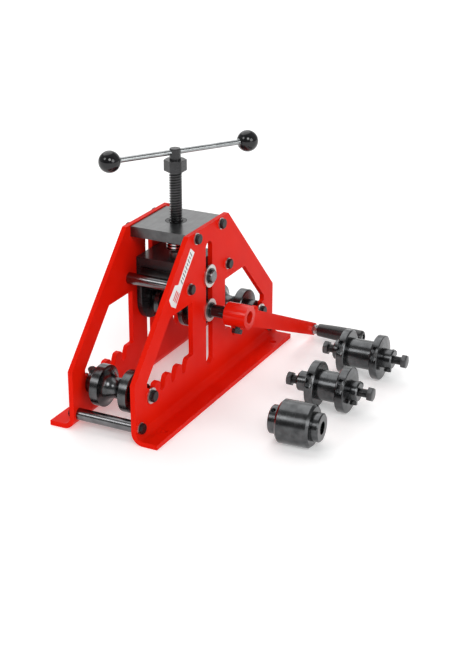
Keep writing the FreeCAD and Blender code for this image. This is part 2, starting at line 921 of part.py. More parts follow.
def crank_arm():
    """Tapered flat bar welded to the hub's outer end."""
    face = rounded_face([
        (0, -arm_root_width / 2, 0),
        (arm_reach, -arm_end_width / 2, arm_end_corner),
        (arm_reach, arm_end_width / 2, arm_end_corner),
        (0, arm_root_width / 2, 0),
    ])
    arm = extruded(face, hub_near_y, arm_inner_y)
    start = Vec(0, hub_near_y, 0)
    end = Vec(0, arm_inner_y, 0)
    bolt_run = Vec(grip_radius_on_arm, 0, 0)
    arm = arm.cut([
        cylinder(hub_diameter, start, end),
        cylinder(grip_bolt_diameter, start.add(bolt_run), end.add(bolt_run)),
    ])
    arm.rotate(Vec(0, 0, 0), ALONG_Y, -arm_heading)
    arm.translate(Vec(0, 0, shaft_z))
    return arm


def grip_axis(y):
    """Point on the grip's axis at a Y place."""
    return Vec(0, y, shaft_z).add(heading(arm_heading) * grip_radius_on_arm)


def grip_bolt():
    """Bolt that carries the grip: head in the grip's recess, shoulder, and shank in the arm."""
    near_y = hub_near_y - grip_gap - grip_length
    head_inner_y = near_y + grip_recess_depth
    nut_near_y = hub_near_y - grip_nut_height
    shoulder_end_y = hub_near_y - grip_gap + grip_end_play
    bolt = cylinder(grip_bolt_diameter, grip_axis(head_inner_y), grip_axis(arm_inner_y))
    head_start = grip_axis(head_inner_y - grip_end_play - grip_head_height)
    head = cylinder(grip_head_diameter, head_start, grip_axis(head_inner_y - grip_end_play))
    link = cylinder(grip_bolt_diameter, head_start, grip_axis(head_inner_y))
    shoulder = cylinder(grip_neck_diameter, grip_axis(shoulder_end_y), grip_axis(nut_near_y))
    return bolt.fuse([head, link, shoulder])


def grip_nut():
    """Nut that locks the grip's bolt against the arm."""
    nut = hexagon(grip_nut_flats, grip_nut_height)
    nut = nut.cut(Part.makeCylinder(grip_bolt_diameter / 2, grip_nut_height))
    return along(nut, grip_axis(hub_near_y), Vec(0, -1, 0))


def crank_grip():
    """Tapered grip, free to turn on its bolt, with a recess for the bolt's head."""
    root = grip_root_diameter / 2
    end = grip_end_diameter / 2
    bore = grip_bolt_diameter / 2 + 2 * running_clearance
    recess = grip_recess_diameter / 2
    grip = turned([
        (bore, 0),
        (root - rim_chamfer, 0),
        (root, rim_chamfer),
        (end, grip_length),
        (recess, grip_length),
        (recess, grip_length - grip_recess_depth),
        (bore, grip_length - grip_recess_depth),
    ])
    outer_edges = []
    for edge in grip.Edges:
        middle = edge.valueAt((edge.FirstParameter + edge.LastParameter) / 2)
        at_end = abs(middle.z - grip_length) < slide_clearance
        if at_end and math.hypot(middle.x, middle.y) > end - slide_clearance and edge.Length > end:
            outer_edges.append(edge)
    grip = grip.makeFillet(grip_end_rounding, outer_edges)
    return along(grip, grip_axis(hub_near_y - grip_gap), Vec(0, -1, 0))


# ---------------------------------------------------------------- spare rollers

def spare_direction(turn):
    """Unit vector from the far end of a spare to its near end."""
    radians = math.radians(turn)
    return Vec(math.sin(radians), -math.cos(radians), 0)


def radial(direction, angle):
    """Unit vector square to a spare's axis, turned from its level side upward."""
    level = UP.cross(direction)
    radians = math.radians(angle)
    return level * math.cos(radians) + UP * math.sin(radians)


def plain_centre(distance):
    """Point on the plain roller's axis at a distance from its near end."""
    near_end = Vec(plain_near_x, plain_near_y, plain_body_diameter / 2)
    return near_end.sub(spare_direction(plain_turn) * distance)


def plain_roller():
    """Plain cylindrical spare roller with a stub and a radial threaded hole at each end."""
    length = plain_length
    body = plain_body_diameter / 2
    stub = plain_stub_diameter / 2
    bore = roller_bore / 2 + running_clearance
    body_end = length - plain_far_stub_length
    shape = turned([
        (bore, 0),
        (stub - rim_chamfer, 0),
        (stub, rim_chamfer),
        (stub, plain_near_stub_length),
        (body - plain_chamfer, plain_near_stub_length),
        (body, plain_near_stub_length + plain_chamfer),
        (body, body_end - plain_chamfer),
        (body - plain_chamfer, body_end),
        (stub, body_end),
        (stub, length - rim_chamfer),
        (stub - rim_chamfer, length),
        (bore, length),
    ])
    direction = spare_direction(plain_turn)
    shape = along(shape, plain_centre(length), direction)
    for distance, angle in plain_hole_places():
        start = plain_centre(distance)
        end = start.add(radial(direction, angle) * plain_stub_diameter)
        shape = shape.cut(cylinder(plain_hole_diameter, start, end))
    return shape


def plain_hole_places():
    """Distance from the near end and angle of each radial hole."""
    return (
        (plain_near_screw_inset, plain_near_screw_angle),
        (plain_length - plain_far_stub_length / 2, plain_far_screw_angle),
    )


def plain_screws():
    """Headless set screws: the near one stands out of its stub, the far one is sunk."""
    inner = roller_bore / 2 + slide_clearance
    stub = plain_stub_diameter / 2
    outer_radii = (stub + plain_near_screw_stand, (inner + stub) / 2)
    screws = []
    for (distance, angle), outer in zip(plain_hole_places(), outer_radii):
        centre = plain_centre(distance)
        out = radial(spare_direction(plain_turn), angle)
        screws.append(cylinder(plain_hole_diameter, centre.add(out * inner), centre.add(out * outer)))
    return compound(screws)


class AdjustableSpare:
    """Spare roller of two discs on a spindle, whose places all follow from its far end."""

    def __init__(self, far_x, far_y, turn, far_collar, disc, sleeve):
        """Keeps the place, the heading and the lengths along the spindle."""
        self.far = Vec(far_x, far_y, disc_diameter / 2)
        self.direction = spare_direction(turn)
        self.disc = disc
        self.spindle_start = spare_bolt_head + spare_far_shank
        self.spindle_end = self.spindle_start + spindle_length
        self.far_disc_start = self.spindle_start + far_collar
        self.sleeve_start = self.far_disc_start + disc
        self.sleeve_end = self.sleeve_start + sleeve
        self.near_disc_end = self.sleeve_end + disc

    def point(self, distance):
        """Point on the axis at a distance from the far bolt's head."""
        return self.far.add(self.direction * distance)

    def spindle(self):
        """Spindle with threaded ends and two radial holes near its near end."""
        rod = chamfered_rod(spindle_diameter, spindle_length, spindle_chamfer)
        rod = along(rod, self.point(self.spindle_start), self.direction)
        for end, inward in ((self.spindle_start, 1), (self.spindle_end, -1)):
            start = self.point(end)
            stop = self.point(end + inward * spare_bolt_grip)
            rod = rod.cut(cylinder(spare_bolt_diameter, start, stop))
        for angle in end_screw_angles:
            centre = self.point(self.screw_distance())
            start = centre.add(self.radial(angle) * self.screw_seat())
            end = centre.add(self.radial(angle) * spindle_diameter)
            rod = rod.cut(cylinder(set_screw_diameter, start, end))
        return rod

    def radial(self, angle):
        """Unit vector square to the axis."""
        return radial(self.direction, angle)

    def screw_distance(self):
        """Distance of the end screws along the axis."""
        return self.spindle_end - end_screw_inset

    def screw_seat(self):
        """Radius at which an end screw stops, just outside the bolt."""
        return spare_bolt_diameter / 2 + slide_clearance

    def end_screws(self):
        """Hexagon-head screws in the spindle's near end, which lock its bolt."""
        stand = spindle_diameter / 2 + slide_clearance
        shank = stand - self.screw_seat()
        screw = hex_bolt(set_screw_diameter, set_screw_flats, set_screw_head, shank)
        centre = self.point(self.screw_distance())
        screws = []
        for angle in end_screw_angles:
            out = self.radial(angle)
            screws.append(along(screw, centre.add(out * stand), out))
        return compound(screws)

    def sleeve(self):
        """Sleeve that holds the discs apart."""
        start = self.point(self.sleeve_start)
        return ring(sleeve_diameter, spindle_diameter, start, self.point(self.sleeve_end))

    def disc_shape(self, start, boss_at_start):
        """Disc with a chamfered rim, and a threaded hole in a recess for its set screw."""
        rim = disc_diameter / 2
        bore = spindle_diameter / 2 + running_clearance
        boss = disc_boss_diameter / 2
        shape = turned([
            (bore, 0),
            (boss, 0),
            (rim - disc_chamfer, disc_chamfer / 2 if boss_at_start else 0),
            (rim, disc_chamfer),
            (rim, self.disc - disc_chamfer),
            (rim - disc_chamfer, self.disc if boss_at_start else self.disc - disc_chamfer / 2),
            (boss, self.disc),
            (bore, self.disc),
        ])
        shape = along(shape, self.point(start), self.direction)
        centre = self.point(start + self.disc / 2)
        out = self.radial(disc_recess_angle)
        hole = cylinder(disc_screw_diameter, centre, centre.add(out * rim))
        return shape.cut([hole, self.disc_recess(centre, out)])

    def disc_recess(self, centre, out):
        """Long recess that is milled round a disc's rim for its set screw."""
        straight = disc_recess_length - disc_recess_width
        along_rim = self.direction.cross(out)
        floor = centre.add(out * (disc_diameter / 2 - disc_recess_depth))
        pieces = []
        for side in (LEFT, RIGHT):
            start = floor.add(along_rim * (side * straight / 2))
            pieces.append(cylinder(disc_recess_width, start, start.add(out * disc_recess_length)))
        block = Part.makeBox(
            straight,
            disc_recess_width,
            disc_recess_length,
            Vec(-straight / 2, -disc_recess_width / 2, 0),
        )
        turn = FreeCAD.Rotation(along_rim, self.direction, out, "ZXY")
        block.Placement = FreeCAD.Placement(floor, turn)
        return pieces[0].fuse([pieces[1], block])

    def disc_screw(self, start):
        """Set screw that stands a little into a disc's recess."""
        centre = self.point(start + self.disc / 2)
        out = self.radial(disc_recess_angle)
        inner = spindle_diameter / 2 + slide_clearance
        outer = disc_diameter / 2 - disc_recess_depth + disc_screw_stand
        return cylinder(disc_screw_diameter, centre.add(out * inner), centre.add(out * outer))

    def far_disc(self):
        """Disc against the far side of the sleeve."""
        return self.disc_shape(self.far_disc_start, True)

    def near_disc(self):
        """Disc against the near side of the sleeve."""
        return self.disc_shape(self.sleeve_end, False)

    def bolts(self):
        """Bolts screwed into both ends of the spindle."""
        bolts = []
        for end, shank, outward in (
            (self.spindle_start, spare_far_shank, -1),
            (self.spindle_end, spare_near_shank, 1),
        ):
            bolt = hex_bolt(
                spare_bolt_diameter,
                spare_bolt_flats,
                spare_bolt_head,
                shank + spare_bolt_grip,
            )
            seat = self.point(end + outward * shank)
            bolts.append(along(bolt, seat, self.direction * outward))
        return compound(bolts)


# ---------------------------------------------------------------- nodes

def adjustable_nodes(name, spare):
    """Nodes of one adjustable spare roller."""
    return {
        name + "_spindle": spare.spindle(),
        name + "_sleeve": spare.sleeve(),
        name + "_disc_far": spare.far_disc(),
        name + "_disc_near": spare.near_disc(),
        name + "_disc_screw_far": spare.disc_screw(spare.far_disc_start),
        name + "_disc_screw_near": spare.disc_screw(spare.sleeve_end),
        name + "_end_screws": spare.end_screws(),
        name + "_bolts": spare.bolts(),
    }


def all_nodes():
    """Every node of the ring roller, by name."""
    near_plate = side_plate()
    near_cheek = cheek()
    nodes = {
        "side_plate_near": near_plate,
        "side_plate_far": mirrored_y(near_plate),
        "top_plate": top_plate(),
        "screw_bush": screw_bush(),
        "plate_bolts": plate_bolts(),
        "plate_washers": plate_washers(),
        "axle_bolts": axle_bolts(),
        "axle_washers": axle_washers(),
        "cheek_near": near_cheek,
        "cheek_far": mirrored_y(near_cheek),
        "carriage_top": carriage_top(),
        "guide_pin": guide_pin(),
        "guide_washers": slot_washers(guide_pin_z),
        "guide_clips": slot_clips(guide_pin_z),
        "lift_screw": lift_screw(),
        "screw_nut": screw_nut(),
        "neck_collars": neck_collars(),
        "t_bar": t_bar(),
        "drive_shaft": drive_shaft(),
        "shaft_washers": slot_washers(shaft_z),
        "shaft_clips": slot_clips(shaft_z),
        "centre_roller": centre_roller(),
        "crank_hub": crank_hub(),
        "crank_arm": crank_arm(),
        "crank_set_screw": crank_set_screw(),
        "grip_bolt": grip_bolt(),
        "grip_nut": grip_nut(),
        "crank_grip": crank_grip(),
        "plain_roller": plain_roller(),
        "plain_roller_screws": plain_screws(),
    }
    for name, side in (("left", LEFT), ("right", RIGHT)):
        nodes["low_spacer_" + name] = spacer_rod(side * low_spacer_x, low_spacer_z)
        nodes["mid_spacer_" + name] = spacer_rod(side * mid_spacer_x, mid_spacer_z)
        nodes["carriage_bar_" + name] = carriage_bar(side)
        nodes["knob_" + name] = knob(side)
        nodes["lower_axle_" + name] = lower_axle(side)
        nodes["lower_roller_" + name] = lower_roller(side)
        nodes["lower_roller_screws_" + name] = lower_roller_screws(side)
    spare_a = AdjustableSpare(
        spare_a_far_x,
        spare_a_far_y,
        spare_a_turn,
        spare_a_far_collar,
        spare_a_disc,
        spare_a_sleeve,
    )
    spare_b = AdjustableSpare(
        spare_b_far_x,
        spare_b_far_y,
        spare_b_turn,
        spare_b_far_collar,
        spare_b_disc,
        spare_b_sleeve,
    )
    nodes.update(adjustable_nodes("spare_a", spare_a))
    nodes.update(adjustable_nodes("spare_b", spare_b))
    return nodes


os.makedirs("parts", exist_ok=True)
for node_name, node_shape in all_nodes().items():
    node_shape.exportStep("parts/" + node_name + ".step")
    print(node_name, "solids", len(node_shape.Solids), "valid", node_shape.isValid())
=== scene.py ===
import json
import logging
import math
from dataclasses import dataclass
from enum import Enum
from typing import Sequence

import bpy
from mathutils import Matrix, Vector


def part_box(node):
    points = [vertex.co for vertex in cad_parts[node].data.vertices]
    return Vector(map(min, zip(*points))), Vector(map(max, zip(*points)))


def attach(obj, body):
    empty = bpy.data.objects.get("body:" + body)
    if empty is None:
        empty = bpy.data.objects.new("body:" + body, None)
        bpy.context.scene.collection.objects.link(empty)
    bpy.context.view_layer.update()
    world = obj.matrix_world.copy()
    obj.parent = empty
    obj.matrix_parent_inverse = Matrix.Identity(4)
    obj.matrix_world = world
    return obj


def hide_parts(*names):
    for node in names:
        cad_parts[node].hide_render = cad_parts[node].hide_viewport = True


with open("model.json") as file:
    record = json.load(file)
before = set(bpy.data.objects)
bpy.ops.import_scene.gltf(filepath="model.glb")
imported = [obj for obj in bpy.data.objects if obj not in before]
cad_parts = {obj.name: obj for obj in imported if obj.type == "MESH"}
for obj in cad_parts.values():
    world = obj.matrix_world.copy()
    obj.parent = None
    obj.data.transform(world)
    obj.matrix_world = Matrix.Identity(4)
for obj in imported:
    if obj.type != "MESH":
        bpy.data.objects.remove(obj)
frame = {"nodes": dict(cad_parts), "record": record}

LOG = logging.getLogger("ring_roller")
MM = 0.001  # metres in a millimetre
SAME_POINT = 0.000002  # metres within which two points are welded
SHARP_ANGLE = 30.0  # degrees from which an edge is rounded

Piece = bpy.types.Object
Socket = bpy.types.NodeSocket
Finish = bpy.types.Material
Colour = tuple[float, float, float]
Point = tuple[float, float, float]
Ring = tuple[float, float]


# ------------------------ choices

class Grain(Enum):
    """Way that a finish's fine lines lie: none, along X, or in rings about Y."""

    EVEN = "even"
    ALONG_X = "along_x"
    AROUND_Y = "around_y"


class Side(Enum):
    """Left or right of the machine's middle."""

    LEFT = -1
    RIGHT = 1


# ------------------------ finishes

class Sketch:
    """A material's node tree while it is being drawn.

    Attributes:
        NOISE_LOW: Value that noise seldom falls below.
        NOISE_HIGH: Value that it seldom exceeds.
        ARRIS_SAMPLES: Rays that find the rounded arrises.
    """

    NOISE_LOW = 0.3
    NOISE_HIGH = 0.7
    ARRIS_SAMPLES = 4

    def __init__(self, name: str) -> None:
        """Starts an empty material with its surface shader.

        Args:
            name: Name of the material.
        """
        self.material = bpy.data.materials.new(name)
        self.material.use_nodes = True
        self.tree = self.material.node_tree
        self.tree.nodes.clear()
        self.output = self.tree.nodes.new("ShaderNodeOutputMaterial")
        self.shader = self.tree.nodes.new("ShaderNodeBsdfPrincipled")
        self.join(self.shader.outputs["BSDF"], self.output.inputs["Surface"])

    def join(self, source: Socket, target: Socket) -> None:
        """Links one socket to another."""
        self.tree.links.new(source, target)

    def node(self, kind: str, **sockets: float) -> bpy.types.Node:
        """Adds a node and sets its inputs by name.

        Args:
            kind: Blender's type name of the node.
            sockets: Values of its inputs, with spaces written as underscores.

        Returns:
            The new node.
        """
        made = self.tree.nodes.new(kind)
        for name, value in sockets.items():
            made.inputs[name.replace("_", " ")].default_value = value
        return made

    def object_place(self, scale: Point = (1.0, 1.0, 1.0)) -> Socket:
        """Object coordinates, scaled along each axis.

        Args:
            scale: Scale along X, Y and Z.

        Returns:
            The socket with the coordinates.
        """
        place = self.tree.nodes.new("ShaderNodeTexCoord")
        scaled = self.tree.nodes.new("ShaderNodeMapping")
        scaled.inputs["Scale"].default_value = scale
        self.join(place.outputs["Object"], scaled.inputs["Vector"])
        return scaled.outputs["Vector"]

    def noise(self, place: Socket, scale: float, detail: float = 3.0) -> Socket:
        """Noise over a place.

        Args:
            place: Coordinates that the noise reads.
            scale: Scale of the noise.
            detail: Octaves of the noise.

        Returns:
            The socket with the noise's value.
        """
        made = self.node("ShaderNodeTexNoise", Scale=scale, Detail=detail)
        self.join(place, made.inputs["Vector"])
        return made.outputs["Fac"]

    def spread(self, value: Socket, low: float, high: float) -> Socket:
        """Maps noise onto a range.

        Args:
            value: Noise to map.
            low: Result at the noise's low end.
            high: Result at its high end.

        Returns:
            The socket with the mapped value.
        """
        ends = {"From_Min": self.NOISE_LOW, "From_Max": self.NOISE_HIGH}
        made = self.node("ShaderNodeMapRange", To_Min=low, To_Max=high, **ends)
        self.join(value, made.inputs["Value"])
        return made.outputs["Result"]

    def tint(self, value: Socket, low: Colour, high: Colour) -> Socket:
        """Mixes two colours by noise.

        Args:
            value: Noise that picks the colour.
            low: Colour at the noise's low end.
            high: Colour at its high end.

        Returns:
            The socket with the colour.
        """
        made = self.tree.nodes.new("ShaderNodeValToRGB")
        ends = zip(made.color_ramp.elements, (self.NOISE_LOW, self.NOISE_HIGH), (low, high))
        for stop, position, colour in ends:
            stop.position = position
            stop.color = (*colour, 1.0)
        self.join(value, made.inputs["Fac"])
        return made.outputs["Color"]

    def relief(self, height: Socket, distance: float, arris: float) -> None:
        """Gives the shader a bump and softly rounded arrises.

        Args:
            height: Height of the bump.
            distance: Depth of the bump in metres.
            arris: Radius of the arrises in metres.
        """
        rounded = self.node("ShaderNodeBevel", Radius=arris)
        rounded.samples = self.ARRIS_SAMPLES
        bump = self.node("ShaderNodeBump", Strength=1.0, Distance=distance)
        self.join(rounded.outputs["Normal"], bump.inputs["Normal"])
        self.join(height, bump.inputs["Height"])
        self.join(bump.outputs["Normal"], self.shader.inputs["Normal"])


@dataclass(frozen=True)
class GlossPaint:
    """Glossy powder paint with a faint orange peel.

    Attributes:
        name: Name of the material.
        slot: The record's material slot that it is.
        deep: Colour where the coat is thick.
        bright: Colour where it is thin.
        roughness: Mean roughness.
        gloss: Level of its mirror-like share.
        unevenness: How far the roughness strays either way.
        cloud_scale: Scale of the coat's clouds.
        smear_scale: Scale of the roughness's smears.
        peel_scale: Scale of the orange peel.
        peel_depth: Depth of the orange peel in metres.
        arris: Radius of the painted arrises in metres.
    """

    name: str = "red_gloss_paint"
    slot: str = "red_paint"
    deep: Colour = (0.72, 0.008, 0.0020)
    bright: Colour = (0.80, 0.013, 0.0030)
    roughness: float = 0.34
    gloss: float = 0.04
    unevenness: float = 0.05
    cloud_scale: float = 9.0
    smear_scale: float = 30.0
    peel_scale: float = 420.0
    peel_depth: float = 0.00003
    arris: float = 0.0007

    def build(self) -> Finish:
        """Draws the material."""
        sketch = Sketch(self.name)
        shader = sketch.shader
        place = sketch.object_place()
        cloud = sketch.noise(place, self.cloud_scale, 4.0)
        sketch.join(sketch.tint(cloud, self.deep, self.bright), shader.inputs["Base Color"])
        smear = sketch.noise(place, self.smear_scale, 4.0)
        rough = sketch.spread(smear, self.roughness - self.unevenness, self.roughness + self.unevenness)
        sketch.join(rough, shader.inputs["Roughness"])
        shader.inputs["Specular IOR Level"].default_value = self.gloss
        sketch.relief(sketch.noise(place, self.peel_scale, 2.0), self.peel_depth, self.arris)
        return sketch.material


@dataclass(frozen=True)
class Steel:
    """Bare, oiled, plated or black-oxide steel, with fine lines from its making.

    Attributes:
        name: Name of the material.
        slot: The record's material slot that it is.
        dark: Colour at the low end of its mottling.
        light: Colour at the high end of its mottling.
        roughness: Mean roughness.
        grain: Way that the fine lines lie.
        line_scale: Lines per metre, roughly.
        line_depth: Depth of the lines in metres.
        coat: Weight of an oil film.
        metal: 1 where the surface is metal, 0 where a skin of oxide covers it.
        unevenness: How far the roughness strays either way.
        gloss: Level of the mirror-like share of an oxide skin.
        coat_roughness: Roughness of the oil film.
        mottle_scale: Scale of the colour's mottling.
        arris: Radius of the arrises in metres.
    """

    name: str
    slot: str
    dark: Colour
    light: Colour
    roughness: float = 0.35
    grain: Grain = Grain.EVEN
    line_scale: float = 900.0
    line_depth: float = 0.00002
    coat: float = 0.0
    metal: float = 1.0
    unevenness: float = 0.05
    gloss: float = 0.5
    coat_roughness: float = 0.20
    mottle_scale: float = 60.0
    arris: float = 0.0004

    def line_stretch(self) -> Point:
        """Scale along each axis that draws noise out into lines."""
        fine = 1.0
        drawn = 0.02
        return {
            Grain.EVEN: (fine, fine, fine),
            Grain.ALONG_X: (drawn, fine, fine),
            Grain.AROUND_Y: (drawn, fine, drawn),
        }[self.grain]

    def build(self) -> Finish:
        """Draws the material."""
        sketch = Sketch(self.name)
        shader = sketch.shader
        shader.inputs["Metallic"].default_value = self.metal
        shader.inputs["Specular IOR Level"].default_value = self.gloss
        if self.coat:
            shader.inputs["Coat Weight"].default_value = self.coat
            shader.inputs["Coat Roughness"].default_value = self.coat_roughness
        even = sketch.object_place()
        drawn = sketch.object_place(self.line_stretch())
        mottle = sketch.noise(even, self.mottle_scale, 5.0)
        sketch.join(sketch.tint(mottle, self.dark, self.light), shader.inputs["Base Color"])
        lines = sketch.noise(drawn, self.line_scale)
        rough = sketch.spread(lines, self.roughness - self.unevenness, self.roughness + self.unevenness)
        sketch.join(rough, shader.inputs["Roughness"])
        sketch.relief(lines, self.line_depth, self.arris)
        return sketch.material


@dataclass(frozen=True)
class PolishedBands:
    """Black steel with bright bands where its turned steps are bare.

    Attributes:
        name: Name of the material.
        bands: Lowest and highest height of each bright band, in metres.
        black: Colour of the black steel.
        bare: Colour of the bare bands.
        margin: Height that the ramp goes past the bands, in metres.
        mark_stretch: Scale along each axis that draws the turning marks out.
        mark_scale: Turning marks per metre, roughly.
        mark_depth: Their depth in metres.
        smoothest: Lowest roughness.
        roughest: Highest roughness.
        arris: Radius of the arrises in metres.
    """

    name: str
    bands: tuple[tuple[float, float], ...]
    black: Colour = (0.030, 0.030, 0.032)
    bare: Colour = (0.74, 0.74, 0.75)
    margin: float = 0.001
    mark_stretch: Point = (0.05, 0.05, 1.0)
    mark_scale: float = 900.0
    mark_depth: float = 0.00002
    smoothest: float = 0.20
    roughest: float = 0.34
    arris: float = 0.0003

    def build(self) -> Finish:
        """Draws the material."""
        sketch = Sketch(self.name)
        shader = sketch.shader
        shader.inputs["Metallic"].default_value = 1.0
        place = sketch.object_place()
        split = sketch.tree.nodes.new("ShaderNodeSeparateXYZ")
        sketch.join(place, split.inputs["Vector"])
        lowest = self.bands[0][0] - self.margin
        highest = self.bands[-1][1] + self.margin
        height = sketch.node("ShaderNodeMapRange", From_Min=lowest, From_Max=highest)
        sketch.join(split.outputs["Z"], height.inputs["Value"])
        ramp = sketch.tree.nodes.new("ShaderNodeValToRGB")
        ramp.color_ramp.interpolation = "CONSTANT"
        ramp.color_ramp.elements.remove(ramp.color_ramp.elements[1])
        ramp.color_ramp.elements[0].color = (*self.black, 1.0)
        for low, high in self.bands:
            for edge, colour in ((low, self.bare), (high, self.black)):
                stop = ramp.color_ramp.elements.new((edge - lowest) / (highest - lowest))
                stop.color = (*colour, 1.0)
        sketch.join(height.outputs["Result"], ramp.inputs["Fac"])
        sketch.join(ramp.outputs["Color"], shader.inputs["Base Color"])
        marks = sketch.noise(sketch.object_place(self.mark_stretch), self.mark_scale)
        rough = sketch.spread(marks, self.smoothest, self.roughest)
        sketch.join(rough, shader.inputs["Roughness"])
        sketch.relief(marks, self.mark_depth, self.arris)
        return sketch.material


@dataclass(frozen=True)
class Plastic:
    """Moulded plastic with a faint texture.

    Attributes:
        name: Name of the material.
        slot: The record's material slot that it is.
        deep: Its usual colour.
        scuffed: Colour where it is handled.
        roughness: Mean roughness.
        pimple: Depth of its texture in metres.
        smoother: How far the roughness strays down.
        rougher: How far it strays up.
        scuff_scale: Scale of the scuffs.
        pimple_scale: Scale of the texture.
        arris: Radius of the arrises in metres.
    """

    name: str
    slot: str
    deep: Colour
    scuffed: Colour
    roughness: float = 0.12
    pimple: float = 0.00001
    smoother: float = 0.03
    rougher: float = 0.05
    scuff_scale: float = 45.0
    pimple_scale: float = 700.0
    arris: float = 0.0004

    def build(self) -> Finish:
        """Draws the material."""
        sketch = Sketch(self.name)
        shader = sketch.shader
        place = sketch.object_place()
        scuff = sketch.noise(place, self.scuff_scale, 4.0)
        sketch.join(sketch.tint(scuff, self.deep, self.scuffed), shader.inputs["Base Color"])
        rough = sketch.spread(scuff, self.roughness - self.smoother, self.roughness + self.rougher)
        sketch.join(rough, shader.inputs["Roughness"])
        sketch.relief(sketch.noise(place, self.pimple_scale, 2.0), self.pimple, self.arris)
        return sketch.material


# ------------------------ modelling moves

def clear_selection() -> None:
    """Deselects every object, the loaded nodes among them."""
    bpy.ops.object.select_all(action="DESELECT")


def focus(piece: Piece) -> None:
    """Selects one piece alone and makes it active."""
    clear_selection()
    piece.select_set(True)
    bpy.context.view_layer.objects.active = piece


def start_edit() -> None:
    """Starts editing the active piece with all of its mesh selected."""
    bpy.ops.object.mode_set(mode="EDIT")
    bpy.ops.mesh.select_all(action="SELECT")


def end_edit(weld: bool = False) -> None:
    """Turns the edited mesh's faces outward and ends the edit.

    Args:
        weld: Whether points in one place are welded first.
    """
    bpy.ops.mesh.select_all(action="SELECT")
    if weld:
        bpy.ops.mesh.remove_doubles(threshold=SAME_POINT)
    bpy.ops.mesh.select_all(action="SELECT")
    bpy.ops.mesh.normals_make_consistent(inside=False)
    bpy.ops.object.mode_set(mode="OBJECT")


def name_piece(name: str) -> Piece:
    """Names the object that was just added, and returns it."""
    piece = bpy.context.active_object
    piece.name = name
    piece.data.name = name
    return piece


def settle(piece: Piece) -> None:
    """Moves a piece's place into its mesh and leaves it selected and active."""
    focus(piece)
    bpy.ops.object.transform_apply(location=True, rotation=True, scale=True)


def stand(piece: Piece, origin: Sequence[float], direction: Sequence[float]) -> None:
    """Turns a piece that was made on +Z to a direction and moves it to a place.

    Args:
        piece: The piece.
        origin: Where its own origin goes, in metres.
        direction: Where its +Z goes.
    """
    piece.rotation_euler = Vector(direction).to_track_quat("Z", "Y").to_euler()
    piece.location = origin
    settle(piece)


def turn_piece(name: str, rings: Sequence[Ring], bored: bool, segments: int = 72) -> Piece:
    """Shapes a turned piece on +Z by extruding a circle from ring to ring.

    Args:
        name: Name of the piece.
        rings: Radius and height of each ring in metres, in order along the outline.
        bored: Whether the outline goes round a bore and meets its first ring again.
        segments: Sides of the circle.

    Returns:
        The closed piece.
    """
    clear_selection()
    radius, height = rings[0]
    fill = "NOTHING" if bored else "NGON"
    bpy.ops.mesh.primitive_circle_add(
        vertices=segments, radius=radius, fill_type=fill, location=(0.0, 0.0, height)
    )
    piece = name_piece(name)
    settle(piece)
    path = list(rings[1:]) + ([rings[0]] if bored else [])
    start_edit()
    for next_radius, next_height in path:
        rise = {"value": (0.0, 0.0, next_height - height)}
        bpy.ops.mesh.extrude_region_move(TRANSFORM_OT_translate=rise)
        scale = next_radius / radius
        bpy.ops.transform.resize(value=(scale, scale, 1.0), center_override=(0.0, 0.0, 0.0))
        radius, height = next_radius, next_height
    end_edit(weld=True)
    return piece


def soften(piece: Piece, width: float, segments: int = 2, smooth: float = 35.0) -> None:
    """Rounds a piece's sharp edges and shades it smooth between them.

    Args:
        piece: The piece.
        width: Width of the rounding in metres, or 0 for shading alone.
        segments: Steps of the rounding.
        smooth: Largest angle in degrees that is shaded smooth.
    """
    focus(piece)
    if width > 0.0:
        bevel = piece.modifiers.new("arris", "BEVEL")
        bevel.width = width
        bevel.segments = segments
        bevel.limit_method = "ANGLE"
        bevel.angle_limit = math.radians(SHARP_ANGLE)
        bpy.ops.object.modifier_apply(modifier=bevel.name)
    bpy.ops.object.shade_smooth_by_angle(angle=math.radians(smooth))


def merge(name: str, pieces: Sequence[Piece]) -> Piece:
    """Joins pieces into one object.

    Args:
        name: Name of the joined piece.
        pieces: The pieces, of which the first is kept.

    Returns:
        The joined piece.
    """
    clear_selection()
    for piece in pieces:
        piece.select_set(True)
    bpy.context.view_layer.objects.active = pieces[0]
    if len(pieces) > 1:
        bpy.ops.object.join()
    return name_piece(name)


def carve(piece: Piece, tool: Piece, operation: str) -> None:
    """Cuts or trims a piece with another, which is used up.

    Args:
        piece: The piece that stays.
        tool: The piece that cuts.
        operation: DIFFERENCE or INTERSECT.
    """
    focus(piece)
    cut = piece.modifiers.new("cut", "BOOLEAN")
    cut.operation = operation
    cut.solver = "EXACT"
    cut.object = tool
    bpy.ops.object.modifier_apply(modifier=cut.name)
    bpy.data.objects.remove(tool, do_unlink=True)


